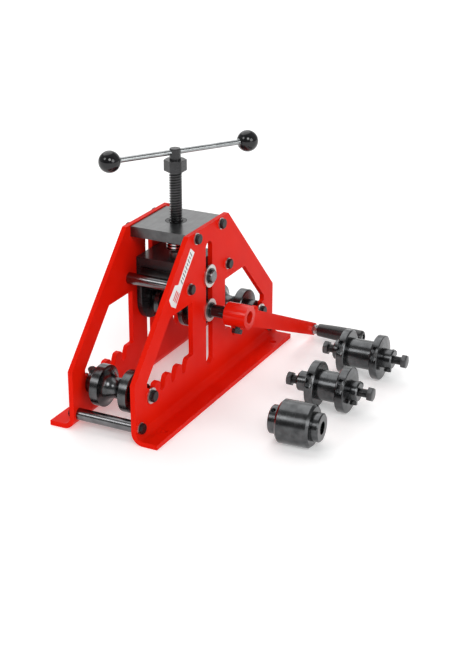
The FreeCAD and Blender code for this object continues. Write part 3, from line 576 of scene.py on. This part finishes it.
def thread_ridge(
    name: str, crest: float, root: float, pitch: float, turns: int, start: float
) -> Piece:
    """Winds the ridge of a right-hand thread on +Z.

    Args:
        name: Name of the piece.
        crest: Radius of the thread's crest in metres.
        root: Radius of its root.
        pitch: Rise of one turn.
        turns: Number of turns.
        start: Height of its first turn.

    Returns:
        The ridge, closed at both ends.
    """
    crest_share = 0.13
    root_share = 0.37
    sunk = 0.0001
    steps = 32
    clear_selection()
    bpy.ops.mesh.primitive_plane_add(size=1.0, rotation=(math.pi / 2, 0.0, 0.0))
    ridge = name_piece(name)
    settle(ridge)
    for vertex in ridge.data.vertices:
        outside = vertex.co.x > 0.0
        upper = vertex.co.z > 0.0
        half_width = pitch * (crest_share if outside else root_share)
        vertex.co.x = crest if outside else root - sunk
        vertex.co.z = start + (half_width if upper else -half_width)
    start_edit()
    bpy.ops.mesh.delete(type="ONLY_FACE")
    bpy.ops.object.mode_set(mode="OBJECT")
    winding = ridge.modifiers.new("winding", "SCREW")
    winding.axis = "Z"
    winding.screw_offset = pitch
    winding.iterations = turns
    winding.steps = steps
    winding.render_steps = steps
    bpy.ops.object.modifier_apply(modifier=winding.name)
    start_edit()
    bpy.ops.mesh.remove_doubles(threshold=SAME_POINT)
    bpy.ops.mesh.select_all(action="SELECT")
    bpy.ops.mesh.fill_holes(sides=4)
    end_edit()
    return ridge


def dress(piece: Piece, material: Finish) -> None:
    """Gives a piece one material all over.

    Args:
        piece: A new piece or a loaded node.
        material: The material.
    """
    if not piece.data.materials:
        piece.data.materials.append(material)
    for index in range(len(piece.data.materials)):
        piece.data.materials[index] = material


class Finishes:
    """All finishes of the machine.

    Attributes:
        GROUND: Nodes that are bare ground steel.
        SUNK_SCREWS: Screws at the bottom of the spare discs' recesses.
        BUSH_BANDS: Ends of the bush's bare bands over its foot, in millimetres.
        TURNED: Grain, line scale and line depth of finely turned steel.
    """

    GROUND = (
        "guide_pin", "low_spacer_left", "low_spacer_right", "mid_spacer_left",
        "mid_spacer_right", "lower_axle_left", "lower_axle_right",
    )
    SUNK_SCREWS = tuple(f"spare_{letter}_disc_screw_{end}" for letter in "ab" for end in ("far", "near"))
    BUSH_BANDS = ((0.0, 1.8), (5.0, 8.0), (11.5, 13.2))
    TURNED = (Grain.AROUND_Y, 2600.0, 0.000003)

    def __init__(self) -> None:
        """Builds the materials."""
        oxide = (0.011, 0.011, 0.012)
        worn_oxide = (0.024, 0.024, 0.026)
        self.looks = (
            GlossPaint(),
            Steel("dark_plate_steel", "dark_plate", (0.055, 0.057, 0.059), (0.090, 0.093, 0.095),
                  0.34, Grain.ALONG_X, line_depth=0.00001, coat=0.8),
            Steel("black_oxide_steel", "black_steel", oxide, worn_oxide, 0.26, metal=0.0),
            Steel("turned_roller_steel", "roller_steel", (0.064, 0.066, 0.068),
                  (0.122, 0.125, 0.128), 0.24, *self.TURNED, unevenness=0.04),
            Steel("zinc_plated_steel", "zinc", (0.52, 0.50, 0.48), (0.66, 0.64, 0.62), 0.34),
            Steel("bright_drawn_steel", "bright_steel", (0.30, 0.315, 0.32), (0.42, 0.435, 0.44), 0.26),
            Plastic("gloss_phenolic", "gloss_black", (0.006, 0.006, 0.007), (0.009, 0.009, 0.010), 0.10),
            Plastic("moulded_grip", "grip_plastic", (0.008, 0.008, 0.009), (0.016, 0.016, 0.017),
                    0.26, 0.00003),
            Steel("black_screw_steel", "screw_black", (0.060, 0.061, 0.063), (0.11, 0.11, 0.113), 0.30),
        )
        self.by_slot = {look.slot: look.build() for look in self.looks}
        self.film = Plastic("label_film", "", (0.78, 0.78, 0.78), (0.86, 0.86, 0.86), 0.35).build()
        self.ink = Plastic("label_ink", "", (0.030, 0.032, 0.038), (0.055, 0.058, 0.065), 0.45).build()
        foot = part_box("screw_bush")[0][2]
        bands = tuple((foot + low * MM, foot + high * MM) for low, high in self.BUSH_BANDS)
        ground = Steel("ground_dark_steel", "", (0.12, 0.12, 0.123), (0.20, 0.20, 0.205),
                       0.22, *self.TURNED).build()
        bolts = Steel("blued_bolt_steel", "", (0.006, 0.006, 0.007), (0.014, 0.014, 0.015),
                      0.30, metal=0.0, gloss=0.2).build()
        self.by_node = {
            "screw_bush": PolishedBands("bush_polished_bands", bands).build(),
            "neck_collars": Steel("bare_collar_steel", "", (0.60, 0.60, 0.61), (0.74, 0.74, 0.75)).build(),
            "crank_hub": GlossPaint("hub_gloss_paint", roughness=0.20, gloss=0.35).build(),
            "drive_shaft": Steel("black_shaft_steel", "", (0.005, 0.005, 0.006), (0.010, 0.010, 0.011),
                                 0.16, metal=0.0).build(),
            "plate_bolts": bolts,
            "axle_bolts": bolts,
        }
        self.by_node.update(dict.fromkeys(self.GROUND, ground))
        self.by_node.update(dict.fromkeys(self.SUNK_SCREWS, self.by_slot["black_steel"]))

    def dress_nodes(self) -> None:
        """Dresses every loaded node with its own finish or the finish of its slot."""
        for entry in frame["record"]["subparts"]:
            node = entry["node"]
            material = self.by_node.get(node, self.by_slot[entry["material_slot"]])
            dress(frame["nodes"][node], material)
            LOG.info("dressed node %s in %s", node, material.name)


# ------------------------ pieces

def middle_of(node: str) -> Vector:
    """Middle of a node's box."""
    lowest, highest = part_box(node)
    return (Vector(lowest) + Vector(highest)) / 2


def hang(piece: Piece, body: str, slot: str, material: Finish, *nodes: str) -> None:
    """Dresses a finished piece, ties it to a body and hides the nodes that it stands for.

    Args:
        piece: The piece.
        body: Body that it rides on.
        slot: The record's material slot, or an empty name where there is none; not used.
        material: Its material.
        nodes: CAD nodes that it stands for.
    """
    dress(piece, material)
    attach(piece, body)
    if nodes:
        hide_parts(*nodes)
    LOG.info("made %s on %s", piece.name, body)


@dataclass
class BallKnob:
    """Ball on one end of the T-bar, with the ferrule that the bar enters.

    Attributes:
        side: End of the bar.
        finishes: The finishes.
        radius: Radius of the ball.
        flat: Distance of its flat from its middle.
        seat_depth: Depth of its socket.
        socket: Radius of its socket.
        ferrule_radius: Radius of the ferrule.
        ferrule_stand: Height of the ferrule over the flat.
        ferrule_sunk: Depth of the ferrule below the flat.
        ferrule_arris: Rounding of the ferrule's edges.
        segments: Faces round the ball.
        rings: Faces from pole to pole.
        overlap: How far the mouth of the socket goes inside the ferrule.
    """

    side: Side
    finishes: "Finishes"
    radius: float = 20.25 * MM
    flat: float = 19.0 * MM
    seat_depth: float = 14.0 * MM
    socket: float = 5.05 * MM
    ferrule_radius: float = 6.6 * MM
    ferrule_stand: float = 1.2 * MM
    ferrule_sunk: float = 4.8 * MM
    ferrule_arris: float = 0.25 * MM
    segments: int = 64
    rings: int = 40
    overlap: float = 0.02 * MM

    def build(self) -> None:
        """Makes the ball and its ferrule."""
        node = "knob_" + self.side.name.lower()
        other = "knob_right" if self.side is Side.LEFT else "knob_left"
        centre = middle_of(node)
        inward = middle_of(other) - centre
        ball = self.ball(node + "_ball")
        foot = self.flat - self.ferrule_sunk
        head = self.flat + self.ferrule_stand
        ferrule = turn_piece(node + "_ferrule", (
            (self.socket, foot),
            (self.ferrule_radius, foot),
            (self.ferrule_radius, head),
            (self.socket, head),
        ), True, 48)
        soften(ferrule, self.ferrule_arris)
        for piece, slot, nodes in ((ball, "gloss_black", (node,)), (ferrule, "bright_steel", ())):
            stand(piece, centre, inward)
            hang(piece, "t_bar", slot, self.finishes.by_slot[slot], *nodes)

    def ball(self, name: str) -> Piece:
        """Shapes the ball on +Z, cut flat and bored where the bar enters.

        Args:
            name: Name of the ball.

        Returns:
            The ball.
        """
        clear_selection()
        bpy.ops.mesh.primitive_uv_sphere_add(
            segments=self.segments, ring_count=self.rings, radius=self.radius
        )
        ball = name_piece(name)
        start_edit()
        bpy.ops.mesh.bisect(
            plane_co=(0.0, 0.0, self.flat), plane_no=(0.0, 0.0, 1.0), use_fill=True, clear_outer=True
        )
        bpy.ops.object.mode_set(mode="OBJECT")
        ball.data.update()
        level = 0.99
        flat_height = self.flat - 0.01 * MM
        for face in ball.data.polygons:
            face.select = face.normal.z > level and face.center.z > flat_height
        rim = math.sqrt(self.radius**2 - self.flat**2)
        half_land = (rim - self.ferrule_radius) / 2
        bpy.ops.object.mode_set(mode="EDIT")
        bpy.ops.mesh.inset(thickness=half_land, depth=0.0)
        bpy.ops.mesh.inset(thickness=half_land + self.overlap, depth=0.0)
        drop = {"value": (0.0, 0.0, -self.seat_depth)}
        bpy.ops.mesh.extrude_region_move(TRANSFORM_OT_translate=drop)
        end_edit()
        soften(ball, 0.0)
        return ball


@dataclass
class LiftScrew:
    """Screw with its thread wound as a helix, a neck below and a cross-drilled head.

    Attributes:
        finishes: The finishes.
        crest: Radius of the thread's crest.
        root: Radius of its root.
        pitch: Rise of one turn.
        neck: Radius of the neck.
        head: Radius of the head.
        hole: Radius of the head's cross hole.
        chamfer: Chamfer of the head.
        collar: Height from the neck's foot to the first thread.
    """

    finishes: "Finishes"
    crest: float = 12.0 * MM
    root: float = 9.6 * MM
    pitch: float = 5.0 * MM
    neck: float = 8.0 * MM
    head: float = 10.5 * MM
    hole: float = 5.05 * MM
    chamfer: float = 1.2 * MM
    collar: float = 22.5 * MM

    def build(self) -> None:
        """Makes the screw."""
        bottom, top = (corner[2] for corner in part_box("lift_screw"))
        nut_bottom, nut_top = (corner[2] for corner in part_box("screw_nut"))
        first = bottom + self.collar
        rod = turn_piece("lift_screw_rod", (
            (self.neck, bottom),
            (self.neck, first),
            (self.root, first),
            (self.root, nut_bottom),
            (self.crest, nut_bottom),
            (self.crest, nut_top),
            (self.head, nut_top),
            (self.head, top - self.chamfer),
            (self.head - self.chamfer, top),
        ), False)
        self.drill(rod)
        soften(rod, 0.0)
        turns = int((nut_bottom - first) / self.pitch)
        ridge = thread_ridge(
            "lift_screw_ridge", self.crest, self.root, self.pitch, turns, first + self.pitch / 3
        )
        soften(ridge, 0.0)
        # The ridge takes the paler metal screw steel and the rod the near-black oxide, so the thread's
        # roots stay near black under brighter crests: painted shade in the thread's hollows.
        hang(rod, "screw", "black_steel", self.finishes.by_slot["black_steel"], "lift_screw")
        hang(ridge, "screw", "black_steel", self.finishes.by_slot["screw_black"])

    def drill(self, rod: Piece) -> None:
        """Drills the rod's head for the T-bar."""
        along = middle_of("knob_right") - middle_of("knob_left")
        clear_selection()
        bpy.ops.mesh.primitive_cylinder_add(vertices=48, radius=self.hole, depth=4 * self.head)
        drill = name_piece("drill")
        stand(drill, (0.0, 0.0, middle_of("t_bar").z), along)
        carve(rod, drill, "DIFFERENCE")


@dataclass
class ScaleStrip:
    """White strip on the near side plate with plain bars.

    Attributes:
        finishes: The finishes.
        outline: X and Z of its corners, in millimetres.
        thickness: Thickness of the film in metres.
        bar_start: Lower end of the row of bars, in millimetres.
        bar_end: Its upper end.
        bar_count: Number of bars.
        bar_width: Width of a bar in millimetres.
        bar_lengths: Length of the short and of the long bars in millimetres.
        bar_slant: How far the bars lean along the row.
        stripe_count: Number of broad stripes at the wide end.
        stripe_middle: X and Z of their middle, in millimetres.
        stripe_size: Length and width of a stripe in millimetres.
        stripe_gap: Distance from stripe to stripe in millimetres.
        washer: Thickness of the plate bolts' washers in metres.
        arris: Rounding of the film's edges in metres.
    """

    finishes: "Finishes"
    outline: tuple[tuple[float, float], ...] = (
        (-71.8, 303.7), (-57.0, 291.6), (-102.1, 244.7), (-130.9, 208.1),
        (-146.7, 216.7), (-154.3, 231.6), (-131.9, 252.5), (-119.6, 249.2),
    )
    thickness: float = 0.25 * MM
    bar_start: tuple[float, float] = (-107.0, 250.5)
    bar_end: tuple[float, float] = (-70.5, 292.0)
    bar_count: int = 9
    bar_width: float = 2.2
    bar_lengths: tuple[float, float] = (7.0, 11.0)
    bar_slant: float = 0.3
    stripe_count: int = 3
    stripe_middle: tuple[float, float] = (-128.0, 229.0)
    stripe_size: tuple[float, float] = (20.0, 2.8)
    stripe_gap: float = 6.0
    washer: float = 2.0 * MM
    arris: float = 0.05 * MM

    def build(self) -> None:
        """Makes the strip, its bars and its stripes."""
        film = self.slab("label_strip", self.outline, 0.0)
        hang(film, "frame", "", self.finishes.film)
        start = Vector(self.bar_start)
        run = Vector(self.bar_end) - start
        ahead = run.normalized()
        across = Vector((-ahead.y, ahead.x))
        slanted = across + ahead * self.bar_slant
        bars = []
        for index in range(self.bar_count):
            centre = start + run * (index / (self.bar_count - 1))
            length = self.bar_lengths[1 if index % 2 == 0 else 0]
            bars.append(self.stroke("label_bar", centre, slanted, length, self.bar_width))
        hang(merge("label_bars", bars), "frame", "", self.finishes.ink)
        stripes = []
        for index in range(self.stripe_count):
            offset = across * (self.stripe_gap * (index - (self.stripe_count - 1) / 2))
            centre = Vector(self.stripe_middle) + offset
            stripes.append(self.stroke("label_stripe", centre, ahead, *self.stripe_size))
        hang(merge("label_stripes", stripes), "frame", "", self.finishes.by_slot["red_paint"])

    def stroke(
        self, name: str, centre: Vector, heading: Vector, length: float, width: float
    ) -> Piece:
        """Thin bar lying on the strip.

        Args:
            name: Name of the bar.
            centre: X and Z of its middle, in millimetres.
            heading: Way that it points, in X and Z.
            length: Its length in millimetres.
            width: Its width in millimetres.

        Returns:
            The bar.
        """
        half = heading.normalized() * (length / 2)
        side = Vector((-half.y, half.x)).normalized() * (width / 2)
        corners = (centre - half - side, centre + half - side, centre + half + side, centre - half + side)
        return self.slab(name, [(corner.x, corner.y) for corner in corners], self.thickness)

    def slab(self, name: str, corners: Sequence[tuple[float, float]], lift: float) -> Piece:
        """Thin slab on the near plate's outer face, from its corners.

        Args:
            name: Name of the slab.
            corners: X and Z of its corners, in millimetres.
            lift: Height of its underside over the plate's face, in metres.

        Returns:
            The slab.
        """
        face_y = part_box("plate_washers")[0][1] + self.washer
        clear_selection()
        bpy.ops.mesh.primitive_circle_add(vertices=len(corners), radius=1.0, fill_type="NGON")
        slab = name_piece(name)
        for vertex, (x, z) in zip(slab.data.vertices, corners):
            vertex.co = (x * MM, face_y - lift, z * MM)
        start_edit()
        rise = {"value": (0.0, -self.thickness, 0.0)}
        bpy.ops.mesh.extrude_region_move(TRANSFORM_OT_translate=rise)
        end_edit()
        soften(slab, self.arris, 1)
        return slab


@dataclass
class HandGrip:
    """Moulded grip on the crank, swelling to its rounded end.

    Attributes:
        finishes: The finishes.
        root: Radius at the arm's end.
        tip: Radius at the far end.
        swell: Extra radius at the middle.
        bore: Radius of the bore.
        recess: Radius of the recess round the bolt's head.
        recess_depth: Depth of that recess.
        rounding: Rounding of the far end.
        steps: Steps of the swelling outline.
        tip_steps: Steps of the rounded end.
        foot_inset: How much narrower its foot is than its root.
        foot_chamfer: Last part of that inset, up the foot's chamfer.
        foot_rise: Height of that chamfer.
        foot: Height where the swelling outline starts.
    """

    finishes: "Finishes"
    root: float = 13.0 * MM
    tip: float = 15.5 * MM
    swell: float = 0.7 * MM
    bore: float = 5.1 * MM
    recess: float = 9.0 * MM
    recess_depth: float = 8.0 * MM
    rounding: float = 5.0 * MM
    steps: int = 14
    tip_steps: int = 6
    foot_inset: float = 2.5 * MM
    foot_chamfer: float = 1.0 * MM
    foot_rise: float = 0.6 * MM
    foot: float = 2.0 * MM

    def build(self) -> None:
        """Makes the grip."""
        lowest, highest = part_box("crank_grip")
        length = highest[1] - lowest[1]
        straight = length - self.rounding
        rings = [
            (self.bore, 0.0),
            (self.root - self.foot_inset, 0.0),
            (self.root - self.foot_chamfer, self.foot_rise),
        ]
        for index in range(self.steps + 1):
            share = index / self.steps
            radius = self.root + (self.tip - self.root) * share + self.swell * math.sin(math.pi * share)
            rings.append((radius, self.foot + share * (straight - self.foot)))
        for index in range(1, self.tip_steps + 1):
            turn = math.radians(90.0 / self.tip_steps * index)
            inset = self.rounding * (1.0 - math.cos(turn))
            rings.append((self.tip - inset, straight + self.rounding * math.sin(turn)))
        rings.append((self.recess, length))
        rings.append((self.recess, length - self.recess_depth))
        rings.append((self.bore, length - self.recess_depth))
        grip = turn_piece("crank_grip_moulding", rings, True)
        soften(grip, 0.0)
        centre = middle_of("crank_grip")
        stand(grip, (centre.x, highest[1], centre.z), (0.0, -1.0, 0.0))
        hang(grip, "grip", "grip_plastic", self.finishes.by_slot["grip_plastic"], "crank_grip")


@dataclass
class HubWeld:
    """Weld bead round the crank's hub where its arm joins.

    Attributes:
        finishes: The finishes.
        hub_radius: Radius of the hub.
        bead: Radius of the bead.
        reach: Half of the bead's run round the hub, in degrees.
        arm_heading: Heading of the arm from +X, towards +Z.
        ripples: Ripples along the bead.
        ripple_height: Height of a ripple as a share of the bead's radius.
        clearance: Distance from the hub's face to the bead's middle.
        sides: Sides of the bead's section.
        smooth: Largest angle in degrees that is shaded smooth.
    """

    finishes: "Finishes"
    hub_radius: float = 22.5 * MM
    bead: float = 2.2 * MM
    reach: float = 44.0
    arm_heading: float = -24.4
    ripples: int = 18
    ripple_height: float = 0.12
    clearance: float = 0.3 * MM
    sides: int = 12
    smooth: float = 60.0

    def build(self) -> None:
        """Makes the bead."""
        run = self.hub_radius + self.clearance
        span = math.radians(2 * self.reach)
        clear_selection()
        bpy.ops.mesh.primitive_circle_add(
            vertices=self.sides, radius=self.bead, location=(run, 0.0, 0.0),
            rotation=(math.pi / 2, 0.0, 0.0), fill_type="NGON",
        )
        bead = name_piece("hub_weld")
        settle(bead)
        start_edit()
        bpy.ops.mesh.spin(
            steps=4 * self.ripples, angle=span, center=(0.0, 0.0, 0.0), axis=(0.0, 0.0, 1.0)
        )
        end_edit(weld=True)
        for vertex in bead.data.vertices:
            turn = math.atan2(vertex.co.y, vertex.co.x)
            wave = 1.0 + self.ripple_height * abs(math.sin(turn / span * math.pi * self.ripples))
            ring = Vector((math.cos(turn), math.sin(turn), 0.0)) * run
            vertex.co = ring + (vertex.co - ring) * wave
        turns = [math.atan2(vertex.co.y, vertex.co.x) for vertex in bead.data.vertices]
        middle = (min(turns) + max(turns)) / 2
        soften(bead, 0.0, smooth=self.smooth)
        hub = middle_of("crank_hub")
        face_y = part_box("crank_arm")[1][1]
        bead.rotation_euler = (math.pi / 2, 0.0, 0.0)
        settle(bead)
        bead.rotation_euler = (0.0, middle - math.radians(self.arm_heading), 0.0)
        bead.location = (hub.x, face_y, hub.z)
        settle(bead)
        hang(bead, "drive", "red_paint", self.finishes.by_slot["red_paint"])


@dataclass
class SpareBolts:
    """Threaded bolts in both ends of one adjustable spare roller.

    Attributes:
        letter: Which spare.
        finishes: The finishes.
        span: Length over both heads.
        head: Height of a head.
        flats: Width across its flats.
        crest: Radius of the thread's crest.
        root: Radius of its root.
        pitch: Rise of one turn.
        far_shank: Shank that shows at the far end.
        near_shank: Shank that shows at the near end.
        hidden: Shank inside the spindle.
        crown_rise: How far the head's chamfer reaches in from its flats.
        crown_slope: Height of that chamfer as a share of its width.
        arris: Rounding of the head's edges.
        margin: How far the tools and the shank go past the head's ends.
    """

    letter: str
    finishes: "Finishes"
    span: float = 171.0 * MM
    head: float = 10.0 * MM
    flats: float = 24.0 * MM
    crest: float = 8.0 * MM
    root: float = 6.8 * MM
    pitch: float = 2.0 * MM
    far_shank: float = 13.0 * MM
    near_shank: float = 17.0 * MM
    hidden: float = 4.0 * MM
    crown_rise: float = 0.6 * MM
    crown_slope: float = 0.6
    arris: float = 0.3 * MM
    margin: float = 1.0 * MM

    def build(self) -> None:
        """Makes both bolts as one piece."""
        spare = "spare_" + self.letter
        centre = middle_of(spare + "_bolts")
        along = (middle_of(spare + "_disc_near") - middle_of(spare + "_disc_far")).normalized()
        bolts = []
        for sign, shank in ((-1.0, self.far_shank), (1.0, self.near_shank)):
            bolt = self.bolt(shank + self.hidden)
            stand(bolt, centre + along * (sign * (self.span / 2 - self.head)), along * sign)
            bolts.append(bolt)
        piece = merge(spare + "_threaded_bolts", bolts)
        hang(piece, spare, "screw_black", self.finishes.by_slot["screw_black"], spare + "_bolts")

    def bolt(self, shank: float) -> Piece:
        """Shapes one bolt with its head on +Z and its shank below.

        Args:
            shank: Length of the threaded shank.

        Returns:
            The bolt.
        """
        corner = self.flats / math.sqrt(3.0)
        clear_selection()
        bpy.ops.mesh.primitive_cylinder_add(
            vertices=6, radius=corner, depth=self.head, location=(0.0, 0.0, self.head / 2)
        )
        head = name_piece("bolt_head")
        settle(head)
        chamfer = corner - self.flats / 2 + self.crown_rise
        shoulder = self.head - self.crown_slope * chamfer - 0.4 * MM
        crown = turn_piece("bolt_crown", (
            (corner + self.margin, -self.margin),
            (corner + self.margin, shoulder),
            (corner - chamfer, self.head),
        ), False)
        carve(head, crown, "INTERSECT")
        soften(head, self.arris)
        rod = turn_piece("bolt_rod", ((self.root, -shank), (self.root, self.margin)), False, 48)
        soften(rod, 0.0)
        turns = int(shank / self.pitch)
        ridge = thread_ridge("bolt_ridge", self.crest, self.root, self.pitch, turns, self.pitch / 2 - shank)
        soften(ridge, 0.0)
        return merge("bolt", (head, rod, ridge))


# ------------------------ studio

@dataclass(frozen=True)
class SoftSun:
    """One distant soft light.

    Attributes:
        name: Name of the light.
        heading: Where it hangs, from +X towards +Y, in degrees.
        height: Its height over the floor in degrees.
        spread: Width of its disc in degrees.
        power: Its power in watts on a square metre.
    """

    name: str
    heading: float
    height: float
    spread: float
    power: float

    def hang(self) -> None:
        """Hangs the light."""
        clear_selection()
        bpy.ops.object.light_add(type="SUN", location=(0.0, 0.0, 3.0))
        lamp = bpy.context.active_object
        lamp.name = self.name
        lamp.data.energy = self.power
        lamp.data.angle = math.radians(self.spread)
        level = math.cos(math.radians(self.height))
        towards = Vector((
            level * math.cos(math.radians(self.heading)),
            level * math.sin(math.radians(self.heading)),
            math.sin(math.radians(self.height)),
        ))
        lamp.rotation_euler = towards.to_track_quat("Z", "Y").to_euler()


@dataclass(frozen=True)
class Studio:
    """Pale floor, soft lights and the camera.

    Attributes:
        floor_span: Side of the square floor in metres.
        floor_drop: Depth of the floor under the object in metres.
        floor_dull: Brightness of its duller spots.
        floor_pale: Brightness of its paler spots.
        floor_glow: Strength of the light that it gives itself.
        camera_place: Place of the camera in metres.
        camera_yaw: Heading of the camera's view from +X, in degrees.
        camera_pitch: Its tilt below level, in degrees.
        lens: Focal length in millimetres.
        sensor: Long side of the picture in millimetres.
        sight: Farthest distance that the camera sees, in metres.
        room_behind: Brightness of the room behind the camera.
        room_above: Its brightness overhead.
        room_beyond: Its brightness beyond the object.
        room_stops: Where the room's tones start and end, from behind the camera to beyond.
        suns: The lights.
    """

    floor_span: float = 40.0
    floor_drop: float = 0.0002
    floor_dull: float = 0.85
    floor_pale: float = 0.87
    floor_glow: float = 0.3
    camera_place: Point = (-2.28141, -1.26542, 1.20777)
    camera_yaw: float = 26.97
    camera_pitch: float = 23.16
    lens: float = 79.08
    sensor: float = 36.0
    sight: float = 100.0
    room_behind: float = 0.10
    room_above: float = 0.32
    room_beyond: float = 1.0
    room_stops: tuple[float, float, float, float] = (0.20, 0.45, 0.82, 0.95)
    suns: tuple[SoftSun, ...] = (
        SoftSun("light_left", 150.0, 37.0, 20.0, 0.45),
        SoftSun("light_camera", 215.0, 38.0, 24.0, 1.0),
        SoftSun("light_front", 252.0, 20.0, 30.0, 0.8),
        SoftSun("light_behind", 50.0, 57.0, 60.0, 1.2),
    )

    def floor(self) -> None:
        """Lays the floor under the object."""
        clear_selection()
        bpy.ops.mesh.primitive_plane_add(size=self.floor_span, location=(0.0, 0.0, -self.floor_drop))
        ground = name_piece("studio_floor")
        settle(ground)
        sketch = Sketch("pale_floor")
        cloud = sketch.noise(sketch.object_place(), 1.2, 2.0)
        tone = sketch.tint(cloud, (self.floor_dull,) * 3, (self.floor_pale,) * 3)
        sketch.join(tone, sketch.shader.inputs["Base Color"])
        sketch.shader.inputs["Roughness"].default_value = 0.6
        sketch.shader.inputs["Specular IOR Level"].default_value = 0.2
        sketch.shader.inputs["Emission Color"].default_value = self.grey(1.0)
        sketch.shader.inputs["Emission Strength"].default_value = self.floor_glow
        ground.data.materials.append(sketch.material)

    def room(self) -> None:
        """Sets the room: dark behind the camera, pale beyond the object, and white to the camera."""
        world = bpy.data.worlds.new("white_room")
        world.use_nodes = True
        tree = world.node_tree
        place = tree.nodes.new("ShaderNodeTexCoord")
        ahead = tree.nodes.new("ShaderNodeVectorMath")
        ahead.operation = "DOT_PRODUCT"
        yaw = math.radians(self.camera_yaw)
        ahead.inputs[1].default_value = (math.cos(yaw), math.sin(yaw), 0.0)
        tree.links.new(place.outputs["Generated"], ahead.inputs[0])
        shift = tree.nodes.new("ShaderNodeMapRange")
        shift.inputs["From Min"].default_value = -1.0
        tree.links.new(ahead.outputs["Value"], shift.inputs["Value"])
        ramp = tree.nodes.new("ShaderNodeValToRGB")
        stops = ramp.color_ramp.elements
        first, *middles, last = self.room_stops
        stops[0].position = first
        stops[0].color = self.grey(self.room_behind)
        stops[1].position = last
        stops[1].color = self.grey(self.room_beyond)
        for position in middles:
            stops.new(position).color = self.grey(self.room_above)
        tree.links.new(shift.outputs["Result"], ramp.inputs["Fac"])
        seen = tree.nodes.new("ShaderNodeLightPath")
        backdrop = tree.nodes.new("ShaderNodeMath")
        backdrop.operation = "MAXIMUM"
        tree.links.new(ramp.outputs["Color"], backdrop.inputs[0])
        tree.links.new(seen.outputs["Is Camera Ray"], backdrop.inputs[1])
        tree.links.new(backdrop.outputs["Value"], tree.nodes["Background"].inputs["Color"])
        bpy.context.scene.world = world

    @staticmethod
    def grey(white: float) -> tuple[float, float, float, float]:
        """Grey of a given brightness."""
        return (white, white, white, 1.0)

    def camera(self) -> None:
        """Sets the camera up."""
        clear_selection()
        bpy.ops.object.camera_add(location=self.camera_place)
        eye = bpy.context.active_object
        eye.name = "camera"
        tilt = math.radians(90.0 - self.camera_pitch)
        eye.rotation_euler = (tilt, 0.0, math.radians(self.camera_yaw - 90.0))
        eye.data.sensor_width = self.sensor
        eye.data.sensor_fit = "AUTO"
        eye.data.lens = self.lens
        eye.data.clip_end = self.sight
        bpy.context.scene.camera = eye

    def build(self) -> None:
        """Builds the floor, the lights, the room and the camera."""
        self.floor()
        for sun in self.suns:
            sun.hang()
        self.room()
        self.camera()
        bpy.context.scene.view_settings.view_transform = "Standard"


def main() -> None:
    """Builds the scene in order."""
    logging.basicConfig(level=logging.INFO, format="%(name)s: %(message)s")
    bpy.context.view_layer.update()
    finishes = Finishes()
    finishes.dress_nodes()
    for side in Side:
        BallKnob(side, finishes).build()
    LiftScrew(finishes).build()
    ScaleStrip(finishes).build()
    HandGrip(finishes).build()
    HubWeld(finishes).build()
    for letter in "ab":
        SpareBolts(letter, finishes).build()
    Studio().build()


if __name__ == "__main__":
    main()
